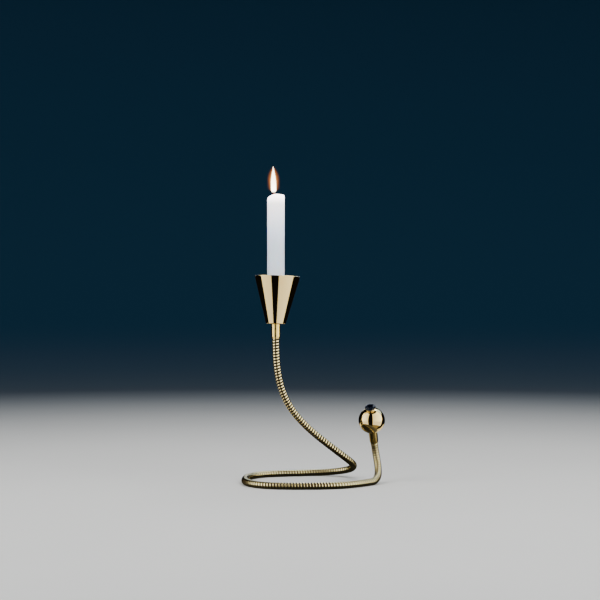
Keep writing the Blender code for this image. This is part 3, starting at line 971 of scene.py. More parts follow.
@dataclass
class Neck:
    """The flexible neck: one brass winding with a right-handed rib over a wire spring.

    It is cut square between ribs into stretches. One lies across each joint and rides on no link,
    and the others ride whole on one link. Joints, reaches and the shortest run are counted in ribs.
    The spring's wire lies in the shade of the winding, so shade is painted on it: its finish is
    read part of the way from crest to groove.
    """

    radius: float = 4.6 * MM
    rib_depth: float = 1.0 * MM
    plain_radius: float = 3.9 * MM
    rib_pitch: float = 3.6 * MM
    rib_roundness: float = 1.0
    bore_radius: float = 3.3 * MM
    spigot: float = 6.7 * MM
    wire_radius: float = 0.75 * MM
    coil_radius: float = 2.2 * MM
    sides: int = 36
    rib_rows: int = 8
    wire_steps: int = 18
    wire_sides: int = 8
    wire_shade: float = 0.3
    fewest_wire_rows: int = 8
    bend_reach: int = 4
    bend_margin: float = 0.6
    shortest_run: float = 1.0
    joint_ribs: tuple[int, ...] = (4, 10, 16, 46, 77, 132, 140, 148, 156, 164, 172, 180, 186)
    links: tuple[str, ...] = (
        "tail_tip", "tail_mid", "tail_low", "loop_front", "loop_left", "root", "neck_1",
        "neck_2", "neck_3", "neck_4", "neck_5", "neck_6", "neck_7", "cup_head",
    )
    route: Route = field(default_factory=Route)

    def __post_init__(self) -> None:
        """Fits a whole number of ribs to the neck's length."""
        self.ribs = round(self.route.length / self.rib_pitch)
        self.pitch = self.route.length / self.ribs

    def ring(self, distance: np.ndarray, angle: np.ndarray, radius: np.ndarray) -> np.ndarray:
        """Points at an angle round the neck: centre + radius (normal cos + side sin).

        What would lie below the table is pressed flat onto it, as the real ribs are worn.

        Args:
            distance: distances along the neck, of any shape.
            angle: angles round it, of the same shape.
            radius: distances from its middle, of the same shape.

        Returns:
            The points, with a last axis of three.
        """
        place, tangent, normal = self.route.at(distance)
        side = np.cross(tangent, normal)
        round_it = normal * np.cos(angle)[..., None] + side * np.sin(angle)[..., None]
        points = place + round_it * radius[..., None]
        points[..., 2] = np.maximum(points[..., 2], 0.0)
        return points

    def rib_height(self, distance: np.ndarray, angle: np.ndarray) -> np.ndarray:
        """Share of the rib's depth: 0 in a groove and 1 on a crest.

        The phase is distance / pitch - angle / full turn, so that crests climb one pitch in
        one right-handed turn. With x from -1 to 1 across a rib the share is
        (1 - x^2)^(roundness / 2).

        Args:
            distance: distances along the neck, of any shape.
            angle: angles round it, of the same shape.

        Returns:
            The share at each.
        """
        phase = distance / self.pitch - angle / FULL_TURN
        across = 2.0 * (phase - np.floor(phase)) - 1.0
        return np.maximum(1.0 - across**2, 0.0) ** (self.rib_roundness / 2.0)

    def ribbed(self, distance: np.ndarray) -> np.ndarray:
        """1 along the ribs, falling to 0 in half a rib where the neck enters a ferrule."""
        from_end = np.minimum(distance, self.route.length - distance) / (0.5 * self.pitch)
        return np.clip(from_end, 0.0, 1.0)

    def outer_radius(self, distance: np.ndarray, angle: np.ndarray) -> np.ndarray:
        """Groove radius + depth times the rib's share, or the plain radius at the ends."""
        rib = self.radius - self.rib_depth * (1.0 - self.rib_height(distance, angle))
        return self.plain_radius + (rib - self.plain_radius) * self.ribbed(distance)

    def winding(self, start: float, end: float) -> Surface:
        """One stretch of winding, closed by its bore and by a flat face at each cut.

        Rows follow the screw: row distance u and angle a give distance u + pitch a / turn,
        held between the two cuts. Within a rib u goes as (1 - cos) / 2, closer near grooves.

        Args:
            start: distance of the first cut along the neck.
            end: distance of the last.

        Returns:
            The closed sheet.
        """
        first, last = math.floor(start / self.pitch) - 1, math.ceil(end / self.pitch)
        step = np.arange(self.rib_rows) / self.rib_rows
        within = (1.0 - np.cos(np.pi * step)) / 2.0
        base = (np.arange(first, last + 1)[:, None] + within[None, :]).ravel() * self.pitch
        turn = np.arange(self.sides + 1) / self.sides
        distance = np.clip(base[:, None] + self.pitch * turn[None, :], start, end)
        angle = np.broadcast_to(FULL_TURN * turn[:-1], (len(base), self.sides))
        rows = distance[:, :-1]
        outside = Surface.from_grid(
            self.ring(rows, angle, self.outer_radius(rows, angle)),
            distance / self.pitch, row_step=self.rib_rows,
            groove=1.0 - self.rib_height(rows, angle),
        )
        rest = np.linspace(start, end, max(2, round((end - start) / self.pitch)) + 1)
        inner = np.concatenate([[start], rest, [end]])
        wall = np.full((len(inner), self.sides), self.bore_radius)
        angle = np.broadcast_to(FULL_TURN * turn[:-1], wall.shape)
        distance = np.broadcast_to(inner[:, None], wall.shape)
        wall[[0, -1]] = self.outer_radius(distance[[0, -1]], angle[[0, -1]])
        along = np.repeat(inner[:, None] / self.pitch, self.sides + 1, axis=1)
        # painted shade: the bore and the cut faces take the groove's dark colour in full
        bore = Surface.from_grid(
            self.ring(distance, angle, wall), along, groove=np.ones_like(wall)
        )
        return Surface.joined([outside, bore])

    def spring(self, start: float, end: float) -> Surface:
        """The round wire wound inside a stretch, closed by a cap at each end.

        At turn number w the wire's middle lies at distance w pitch, at angle w turns and at
        the coil's radius. A circle round it is spanned by that radius and by the tangent.

        Args:
            start: distance of the stretch's first cut along the neck.
            end: distance of the last. The wire stops half a gap short of both.

        Returns:
            The closed sheet.
        """
        short = self.wire_radius + 0.5 * GAP
        count = max(self.fewest_wire_rows, round((end - start) / self.pitch * self.wire_steps))
        distance = np.linspace(start + short, end - short, count)
        angle = FULL_TURN * distance / self.pitch
        place, tangent, normal = self.route.at(distance)
        out = normal * np.cos(angle)[:, None] + np.cross(tangent, normal) * np.sin(angle)[:, None]
        around = np.arange(self.wire_sides) * FULL_TURN / self.wire_sides
        width = np.full(count, self.wire_radius)
        width[[0, -1]] = 0.0
        offset = (
            out[:, None] * (np.cos(around) * width[:, None])[..., None]
            + tangent[:, None] * (np.sin(around) * width[:, None])[..., None]
        )
        middle = place + out * self.coil_radius
        middle[0], middle[-1] = middle[1], middle[-2]
        along = np.repeat(distance[:, None] / self.pitch, self.wire_sides + 1, axis=1)
        # painted shade: the wire takes the spring's shaded colour
        shade = np.full((count, self.wire_sides), self.wire_shade)
        return Surface.from_grid(middle[:, None] + offset, along, groove=shade)

    def build(self, brass: bpy.types.Material, steel: bpy.types.Material) -> None:
        """Makes every stretch of the neck: a bend at each joint, runs between them.

        Args:
            brass: the winding's material.
            steel: the spring's.
        """
        edges = np.array([0, *self.joint_ribs, self.ribs], float)
        middles = (edges[:-1] + edges[1:]) / 2.0
        lows = np.maximum(edges[1:-1] - self.bend_reach, middles[:-1])
        highs = np.minimum(edges[1:-1] + self.bend_reach, middles[1:])
        for number, (joint, low, high) in enumerate(zip(edges[1:-1], lows, highs), start=1):
            reach = (min(joint - low, high - joint) - self.bend_margin) * self.pitch
            ends = self.route.at(np.array([joint * self.pitch - reach, joint * self.pitch + reach]))[0]
            for kind, node, shape, finish, slot in self.layers(low, high, brass, steel):
                piece = shape.made_object(f"neck_{kind}_bend_{number:02d}", finish)
                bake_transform(piece)
                dress(piece, None, [f"neck_{node}_{number:02d}", f"neck_{node}_{number + 1:02d}"])
        spigot = self.spigot / self.pitch
        starts, stops = [-spigot, *highs], [*lows, self.ribs + spigot]
        for number, (low, high) in enumerate(zip(starts, stops), start=1):
            if high - low < self.shortest_run:
                continue
            for kind, node, shape, finish, slot in self.layers(low, high, brass, steel):
                piece = shape.made_object(f"neck_{kind}_run_{number:02d}", finish)
                dress(piece, self.links[number - 1], [f"neck_{node}_{number:02d}"])

    def layers(
        self, low: float, high: float, brass: bpy.types.Material, steel: bpy.types.Material
    ) -> list[tuple[str, str, Surface, bpy.types.Material, Slot]]:
        """The two layers of a stretch between two ribs.

        Args:
            low: rib where the stretch starts.
            high: rib where it ends.
            brass: the winding's material.
            steel: the spring's.

        Returns:
            For each layer its name, its solids' name, its sheet, its material and its slot.
        """
        start, end = low * self.pitch, high * self.pitch
        return [
            ("winding", "winding", self.winding(start, end), brass, Slot.NECK_BRASS),
            ("spring", "core", self.spring(start, end), steel, Slot.SPRING_STEEL),
        ]


@dataclass
class Ferrule:
    """Turned brass sleeve that takes the neck's plain end, with a threaded stud."""

    name: str
    body: str
    mouth: tuple[float, float, float]
    axis: tuple[float, float, float]
    stud_length: float
    length: float = 18.2 * MM
    radius: float = 5.5 * MM
    mouth_radius: float = 5.0 * MM
    taper: float = 2.5 * MM
    socket_radius: float = 4.2 * MM
    socket_depth: float = 7.0 * MM
    stud_radius: float = 3.0 * MM
    thread_pitch: float = 1.0 * MM
    thread_depth: float = 0.3 * MM
    thread_rows: int = 10
    thread_fade: float = 8.0
    stud_shoulder: float = 0.3 * MM
    stud_point: float = 0.6 * MM
    taper_rounding: float = 1.5 * MM
    top_rounding: float = 0.35 * MM
    point_rounding: float = 0.4 * MM
    sides: int = 96

    def build(self, brass: bpy.types.Material) -> None:
        """Turns the sleeve, and cuts a right-handed thread on its stud.

        Args:
            brass: the sleeve's material.
        """
        lathe = Lathe(self.mouth, self.axis, self.sides)
        top = self.length + self.stud_length
        shoulder, point = self.length + self.stud_shoulder, top - self.stud_point
        sleeve = rounded([
            (0.0, self.socket_depth, 0.0),
            (self.socket_radius, self.socket_depth, CRISP_EDGE),
            (self.socket_radius, 0.0, FINE_EDGE),
            (self.mouth_radius, 0.0, SOFT_EDGE),
            (self.radius, self.taper, self.taper_rounding),
            (self.radius, self.length, self.top_rounding),
            (self.stud_radius, self.length, BROKEN_EDGE),
            (self.stud_radius, shoulder, 0.0),
        ])
        rows = round((point - shoulder) / self.thread_pitch * self.thread_rows)
        height = np.linspace(shoulder, point, rows)[:, None]
        stud = self.threaded(height, lathe.angles()[None, :])
        end = rounded([
            (self.stud_radius, point, 0.0),
            (self.stud_radius, top, self.point_rounding),
            (0.0, top, 0.0),
        ])
        ring = np.ones((1, self.sides))
        radius = np.concatenate([sleeve[:, :1] * ring, stud, end[:, :1] * ring])
        heights = np.concatenate([sleeve[:, 1:], height, end[:, 1:]])
        piece = lathe.swept(radius, heights).made_object(self.name + "_turned", brass)
        dress(piece, self.body, [self.name])

    def threaded(self, height: np.ndarray, angle: np.ndarray) -> np.ndarray:
        """Radius on the thread: a triangle wave of the phase, faded out at both ends.

        Args:
            height: heights along the stud, from its shoulder to its point.
            angle: angles round it.

        Returns:
            The radius at each height and angle.
        """
        phase = height / self.thread_pitch - angle / FULL_TURN
        wave = 2.0 * np.abs(phase - np.floor(phase) - 0.5)
        span = (height - height[0]) / (height[-1] - height[0])
        fade = np.clip(self.thread_fade * np.minimum(span, 1.0 - span), 0.0, 1.0)
        return self.stud_radius - self.thread_depth * wave * fade


@dataclass
class Cup:
    """Conical brass cup with its fasteners, drip pan and candle socket.

    The cone, the pan and the socket lean to the right. The washer and the nut stand
    upright on the ferrule's stud.
    """

    mouth: tuple[float, float, float]
    ferrule_length: float = 18.2 * MM
    ferrule_radius: float = 5.5 * MM
    lean_right_degrees: float = 1.8
    height: float = 59.4 * MM
    foot_radius: float = 12.3 * MM
    rim_radius: float = 28.5 * MM
    wall: float = 1.2 * MM
    lip_share: float = 0.48
    floor: float = 2.0 * MM
    floor_fillet: float = 1.0 * MM
    foot_edge: float = 0.5 * MM
    stud_hole_radius: float = 3.3 * MM
    washer_radius: float = 6.5 * MM
    washer_edge: float = 0.2 * MM
    washer_punched_edge: float = 0.05 * MM
    nut_half_width: float = 5.0 * MM
    nut_chamfer: float = 0.5 * MM
    nut_chamfer_slope: float = 1.8
    nut_rows: int = 24
    pan_depth: float = 8.0 * MM
    pan_thickness: float = 1.2 * MM
    pan_dish: float = 1.5 * MM
    pan_edge: float = 0.4 * MM
    pan_bend: float = 3.0 * MM
    sleeve_depth: float = 28.0 * MM
    sleeve_wall: float = 1.0 * MM
    sleeve_floor: float = 1.2 * MM
    sleeve_flange: float = 2.0 * MM
    flange_thickness: float = 1.0 * MM
    flange_edge: float = 0.45 * MM
    sleeve_foot_edge: float = 0.8 * MM
    bore_edge: float = 0.5 * MM
    candle_radius: float = 10.75 * MM
    sides: int = 192
    pressed_sides: int = 144
    nut_sides: int = 96
    washer_sides: int = 72
    body: str = "cup_head"

    def __post_init__(self) -> None:
        """Works out the cup's foot and axis, and the heights of what it holds."""
        slope = math.tan(math.radians(self.lean_right_degrees))
        rise = self.ferrule_length + GAP + self.ferrule_radius * slope
        self.foot = (self.mouth[0], self.mouth[1], self.mouth[2] + rise)
        self.axis = (slope, 0.0, 1.0)
        self.spread = (self.rim_radius - self.foot_radius) / self.height
        self.pan_foot = self.height - self.pan_depth
        self.flange_foot = self.pan_foot + self.pan_thickness + GAP
        self.flange_top = self.flange_foot + self.flange_thickness
        self.bore = self.candle_radius + GAP + self.flange_top * slope
        self.sleeve_radius = self.bore + self.sleeve_wall
        self.flange_radius = self.sleeve_radius + self.sleeve_flange

    def leaning(self, sides: int) -> Lathe:
        """The lathe on the cup's own axis."""
        return Lathe(self.foot, self.axis, sides)

    def upright(self, sides: int) -> Lathe:
        """The lathe on the stud's axis, with world heights."""
        return Lathe((self.foot[0], self.foot[1], 0.0), sides=sides)

    def outer_radius(self, height: float) -> float:
        """Radius of the cone's outside at a height above its foot."""
        return self.foot_radius + self.spread * height

    def inner_radius(self, height: float) -> float:
        """Radius of the cone's inside, one wall in, square to the cone."""
        return self.outer_radius(height) - self.wall * math.hypot(1.0, self.spread)

    def build(self, brass: bpy.types.Material, steel: bpy.types.Material) -> None:
        """Makes the shell and everything that is fixed in it.

        Args:
            brass: the material of the shell, the pan and the socket.
            steel: the material of the washer and the nut.
        """
        lip = self.lip_share * self.wall
        shell = rounded([
            (self.stud_hole_radius, 0.5 * self.floor, 0.0),
            (self.stud_hole_radius, 0.0, BROKEN_EDGE),
            (self.foot_radius, 0.0, self.foot_edge),
            (self.outer_radius(self.height), self.height, lip),
            (self.inner_radius(self.height), self.height, lip),
            (self.inner_radius(self.floor), self.floor, self.floor_fillet),
            (self.stud_hole_radius, self.floor, BROKEN_EDGE),
            (self.stud_hole_radius, 0.5 * self.floor, 0.0),
        ], steps=8)
        piece = self.leaning(self.sides).turned(shell).made_object("cup_cone", brass)
        dress(piece, self.body, ["cup_shell"])
        self.build_washer(steel)
        self.build_nut(steel)
        self.build_pan(brass)
        self.build_sleeve(brass)

    def build_washer(self, steel: bpy.types.Material) -> None:
        """Stamped washer: one edge rolled by the punch, the other nearly sharp.

        Args:
            steel: its material.
        """
        low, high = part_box("cup_washer")
        middle = (low.z + high.z) / 2.0
        outline = rounded([
            (self.stud_hole_radius, middle, 0.0),
            (self.stud_hole_radius, low.z, self.washer_edge),
            (self.washer_radius, low.z, self.washer_punched_edge),
            (self.washer_radius, high.z, 2.0 * self.washer_edge),
            (self.stud_hole_radius, high.z, self.washer_edge),
            (self.stud_hole_radius, middle, 0.0),
        ])
        lathe = self.upright(self.washer_sides)
        piece = lathe.turned(outline).made_object("cup_washer_stamped", steel)
        dress(piece, self.body, ["cup_washer"])

    def build_nut(self, steel: bpy.types.Material) -> None:
        """Hexagonal nut: radius is the least of the hexagon's and of a chamfer cone's.

        The hexagon's radius at angle a is half its width over cos(a), with a measured from
        the middle of the nearest flat. The cone takes chamfer off the corners at both ends.

        Args:
            steel: its material.
        """
        low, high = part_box("cup_nut")
        lathe = self.upright(self.nut_sides)
        sixth = FULL_TURN / 6.0
        from_flat = np.mod(lathe.angles(), sixth) - sixth / 2.0
        hexagon = self.nut_half_width / np.cos(from_flat)
        share = (1.0 - np.cos(np.linspace(0.0, np.pi, self.nut_rows))) / 2.0
        height = low.z + (high.z - low.z) * share[:, None]
        from_face = np.minimum(height - low.z, high.z - height)
        corner = self.nut_half_width / math.cos(sixth / 2.0)
        cone = corner - self.nut_chamfer + self.nut_chamfer_slope * from_face
        side = np.minimum(hexagon[None, :], cone)
        inner = np.full_like(side, self.stud_hole_radius)
        radius = np.concatenate([side, inner[::-1], side[:1]])
        heights = np.concatenate([height, height[::-1], height[:1]])
        sheet = lathe.swept(radius, heights)
        piece = sheet.made_object("cup_nut_hexagonal", steel, sharp_degrees=25.0)
        dress(piece, self.body, ["cup_nut"])

    def build_pan(self, brass: bpy.types.Material) -> None:
        """Drip pan pressed from sheet: a flat round the socket, then a dished slope.

        Args:
            brass: its material.
        """
        hole, low, thick = self.sleeve_radius + GAP, self.pan_foot, self.pan_thickness
        raised = low + self.pan_dish
        edge = self.inner_radius(raised) - GAP
        outline = rounded([
            (hole, low + 0.5 * thick, 0.0),
            (hole, low, CRISP_EDGE),
            (self.flange_radius, low, self.pan_bend),
            (edge, raised, self.pan_edge),
            (edge, raised + thick, self.pan_edge),
            (self.flange_radius, low + thick, self.pan_bend),
            (hole, low + thick, CRISP_EDGE),
            (hole, low + 0.5 * thick, 0.0),
        ])
        lathe = self.leaning(self.pressed_sides)
        piece = lathe.turned(outline).made_object("drip_pan_pressed", brass)
        dress(piece, self.body, ["drip_pan"])

    def build_sleeve(self, brass: bpy.types.Material) -> None:
        """Candle socket: a drawn tube with a closed foot and a rolled flange.

        Args:
            brass: its material.
        """
        low, high = self.flange_top - self.sleeve_depth, self.flange_top
        outline = rounded([
            (0.0, low, 0.0),
            (self.sleeve_radius, low, self.sleeve_foot_edge),
            (self.sleeve_radius, self.flange_foot, SOFT_EDGE),
            (self.flange_radius, self.flange_foot, self.flange_edge),
            (self.flange_radius, high, self.flange_edge),
            (self.bore, high, self.bore_edge),
            (self.bore, low + self.sleeve_floor, self.bore_edge),
            (0.0, low + self.sleeve_floor, 0.0),
        ])
        lathe = self.leaning(self.pressed_sides)
        piece = lathe.turned(outline).made_object("socket_sleeve_drawn", brass)
        dress(piece, self.body, ["socket_sleeve"])


@dataclass
class Candle:
    """Taper candle with a half-melted crown, its bent wick and its flame.

    The wax is wet out to wet_reach pool radii, down to wet_depth under the crown. The wick's
    rows lie close from wick_close_from, measured up from the pool. Sheets of the flame's
    mantle change their shape by one mantle rise, drop, taper and belly at each step out.
    """

    crown_drop: float = 0.9 * MM
    crown_slope: float = 3.5 * MM
    crown_rounding: float = 2.6 * MM
    crown_rows: int = 26
    side_rows: int = 60
    pool_radius: float = 7.0 * MM
    pool_depth: float = 1.3 * MM
    wet_reach: float = 1.25
    wet_depth: float = 10.5 * MM
    foot_edge: float = 0.6 * MM
    wick_radius: float = 0.6 * MM
    wick_bore: float = 0.9 * MM
    wick_bend: float = 2.6 * MM
    wick_length: float = 5.6 * MM
    wick_lay: float = 1.2 * MM
    wick_strand_depth: float = 0.12
    wick_swell: float = 0.35
    wick_close_from: float = -8.0 * MM
    wick_close_step: float = 0.2 * MM
    wick_hidden_rows: int = 120
    wick_close_rows: int = 80
    wick_sides: int = 16
    core_radius: float = 3.0 * MM
    mantle_radii: tuple[float, ...] = (3.5 * MM, 4.3 * MM, 5.2 * MM, 6.3 * MM, 7.5 * MM)
    mantle_glow: tuple[float, ...] = (1.0, 0.5, 0.25, 0.12, 0.06)
    mantle_rise: float = 0.015
    mantle_drop: float = 0.006
    mantle_taper: float = 0.14
    mantle_belly: float = 0.04
    flame_belly: float = 0.3
    flame_bluntness: float = 12.0
    flame_taper: float = 1.3
    flame_gap: float = 0.8 * MM
    root_shift: float = 2.8 * MM
    tip_shift: float = 3.4 * MM
    flame_rows: int = 70
    flame_sides: int = 64
    sides: int = 96
    body: str = "candle"

    def __post_init__(self) -> None:
        """Reads the candle's axis, radius, foot and top from its solids."""
        low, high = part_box("candle")
        self.centre = ((low.x + high.x) / 2.0, (low.y + high.y) / 2.0, 0.0)
        self.foot, self.top = low.z, high.z - self.crown_drop
        self.radius = (high.x - low.x) / 2.0
        self.flame_root, self.flame_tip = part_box("flame")[0].z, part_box("flame")[1].z

    def crown_height(self, radius: np.ndarray, angle: np.ndarray) -> np.ndarray:
        """Height of the crown: it sags to the left, is rounded at its rim and has a pool.

        The sag grows as the 1.5th power of how far left a point is, the rim falls along
        a quarter circle, and the pool is a smooth dish round the wick.

        Args:
            radius: distances from the candle's axis.
            angle: angles round it.

        Returns:
            The height at each.
        """
        left = np.clip(-(radius * np.cos(angle)) / self.radius, 0.0, 1.0)
        past = np.clip((radius - self.radius + self.crown_rounding) / self.crown_rounding, 0.0, 1.0)
        rim = self.crown_rounding * (1.0 - np.sqrt(np.maximum(1.0 - past**2, 0.0)))
        dish = np.clip(1.0 - radius / self.pool_radius, 0.0, 1.0)
        pool = self.pool_depth * dish * dish * (3.0 - 2.0 * dish)
        return self.top - self.crown_slope * left**1.5 - rim - pool

    def build(self, wax: bpy.types.Material, cotton: bpy.types.Material) -> None:
        """Makes the candle, then the wick through it.

        Args:
            wax: the candle's material.
            cotton: the wick's.
        """
        lathe = Lathe(self.centre, sides=self.sides)
        angle = lathe.angles()[None, :]
        across = self.radius * np.sin(np.linspace(0.0, np.pi / 2.0, self.crown_rows))[::-1]
        across = across[across > self.wick_bore][:, None]
        across = np.concatenate([across, [[self.wick_bore]]])
        crown = self.crown_height(across, angle)
        share = np.linspace(0.0, 1.0, self.side_rows)[:, None]
        side = self.foot + self.foot_edge + (crown[:1] - self.foot - self.foot_edge) * share
        foot = rounded([
            (self.wick_bore, self.foot, 0.0),
            (self.radius, self.foot, self.foot_edge),
            (self.radius, self.foot + 2.0 * self.foot_edge, 0.0),
        ])[:-1]
        ring = np.ones((1, self.sides))
        radius = np.concatenate([
            foot[:, :1] * ring, np.full(side.shape, self.radius)[1:-1], across * ring,
            self.wick_bore * ring,
        ])
        height = np.concatenate([foot[:, 1:] * ring, side[1:-1], crown, self.foot * ring])
        wet = np.clip(self.wet_reach - radius / self.pool_radius, 0.0, 1.0)
        wet = np.where(height > self.top - self.wet_depth, wet, 0.0)
        sheet = lathe.swept(radius, height, molten=wet)
        piece = sheet.made_object("candle_taper", wax, sharp_degrees=60.0)
        dress(piece, self.body, ["candle"])
        self.build_wick(cotton)

    def build_wick(self, cotton: bpy.types.Material) -> None:
        """Braided wick: straight in the wax, then bent left over an arc of a circle.

        At an arc angle t the middle lies bend (1 - cos t) to the left and bend sin t above
        the pool. Three strands turn round it, so with k the strand's depth its radius at
        distance d and angle a is r (1 - k + k |cos(1.5 (a - d / lay))|). It swells as it chars.

        Args:
            cotton: its material.
        """
        foot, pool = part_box("wick")[0].z, self.top - self.pool_depth
        close = self.wick_close_from
        distance = np.concatenate([
            np.linspace(foot - pool, close, self.wick_hidden_rows),
            np.linspace(close + self.wick_close_step, self.wick_length, self.wick_close_rows),
        ])
        arc = np.clip(distance, 0.0, None) / self.wick_bend
        angle = np.arange(self.wick_sides) * FULL_TURN / self.wick_sides
        phase = angle[None, :] - distance[:, None] / self.wick_lay
        burnt = np.clip(distance / self.wick_length, 0.0, 1.0)
        thick = 1.0 + self.wick_swell * np.sin(np.pi * burnt**0.7)
        strands = 1.0 - self.wick_strand_depth * (1.0 - np.abs(np.cos(1.5 * phase)))
        radius = self.wick_radius * thick[:, None] * strands
        radius[[0, -1]] = 0.0
        left, rise = self.wick_bend * (1.0 - np.cos(arc)), self.wick_bend * np.sin(arc)
        middle = np.stack([
            self.centre[0] - left,
            np.full_like(left, self.centre[1]),
            pool + np.minimum(distance, 0.0) + rise,
        ], axis=-1)
        across = np.stack([np.cos(arc), 0.0 * arc, np.sin(arc)], axis=-1)[:, None]
        offset = across * (radius * np.cos(angle))[..., None]
        offset = offset + np.array([0.0, 1.0, 0.0]) * (radius * np.sin(angle))[..., None]
        along = np.repeat(distance[:, None], self.wick_sides + 1, axis=1)
        burnt = np.repeat(burnt[:, None], self.wick_sides, axis=1)
        sheet = Surface.from_grid(middle[:, None] + offset, along, burnt=burnt)
        piece = sheet.made_object("wick_braided", cotton, sharp_degrees=60.0)
        dress(piece, self.body, ["wick"])

    def flame_sheet(self, radius: float, step: int, glow: float) -> Surface:
        """Flame outline: a blunt oval up to its belly, then a falling cosine power.

        With s from 0 at the root to 1 at the tip and b at the belly, the radius over its
        largest is sqrt(1 - (1 - s / b)^bluntness) below b, and above it
        cos(pi / 2 (s - b) / (1 - b))^taper. Its middle stands left of the candle's. Each
        step outwards lifts the root and the belly, lowers the tip and rounds the top.

        Args:
            radius: largest radius.
            step: 0 for the core and the sheet that hugs it, then one more for each sheet.
            glow: its brightness, kept as an attribute.

        Returns:
            The closed sheet.
        """
        length = self.flame_tip - self.flame_root - self.flame_gap
        root = self.flame_root + self.flame_gap + self.mantle_rise * step * length
        tip = self.flame_tip - self.mantle_drop * step * length
        belly = self.flame_belly + self.mantle_belly * step
        taper = self.flame_taper - self.mantle_taper * step
        share = ((1.0 - np.cos(np.linspace(0.0, np.pi, self.flame_rows))) / 2.0)[:, None]
        below = np.clip(1.0 - share / belly, 0.0, 1.0)
        above = np.clip((share - belly) / (1.0 - belly), 0.0, 1.0)
        narrowing = np.clip(np.cos(0.5 * np.pi * above), 0.0, 1.0) ** taper
        width = radius * np.sqrt(1.0 - below**self.flame_bluntness) * narrowing
        left = self.root_shift + (self.tip_shift - self.root_shift) * share
        angle = np.arange(self.flame_sides) * FULL_TURN / self.flame_sides
        place = np.stack([
            self.centre[0] - left + width * np.cos(angle),
            self.centre[1] + width * np.sin(angle),
            root + (tip - root) * share + 0.0 * angle,
        ], axis=-1)
        along = np.repeat(share, self.flame_sides + 1, axis=1)
        return Surface.from_grid(place, along, glow=np.full(place.shape[:2], glow))

    def build_flame(self, core: bpy.types.Material, mantle: bpy.types.Material) -> None:
        """Bright core inside a mantle of thin nested sheets, each fainter than the last.

        All stand clear of the wax.

        Args:
            core: the core's material.
            mantle: the sheets'.
        """
        piece = self.flame_sheet(self.core_radius, 0, 1.0).made_object("flame_core", core, NO_EDGE)
        dress(piece, self.body, ["flame"])
        sheets = [
            self.flame_sheet(radius, step, glow)
            for step, (radius, glow) in enumerate(zip(self.mantle_radii, self.mantle_glow))
        ]
        piece = Surface.joined(sheets).made_object("flame_mantle", mantle, NO_EDGE)
        dress(piece, self.body, ["flame"])


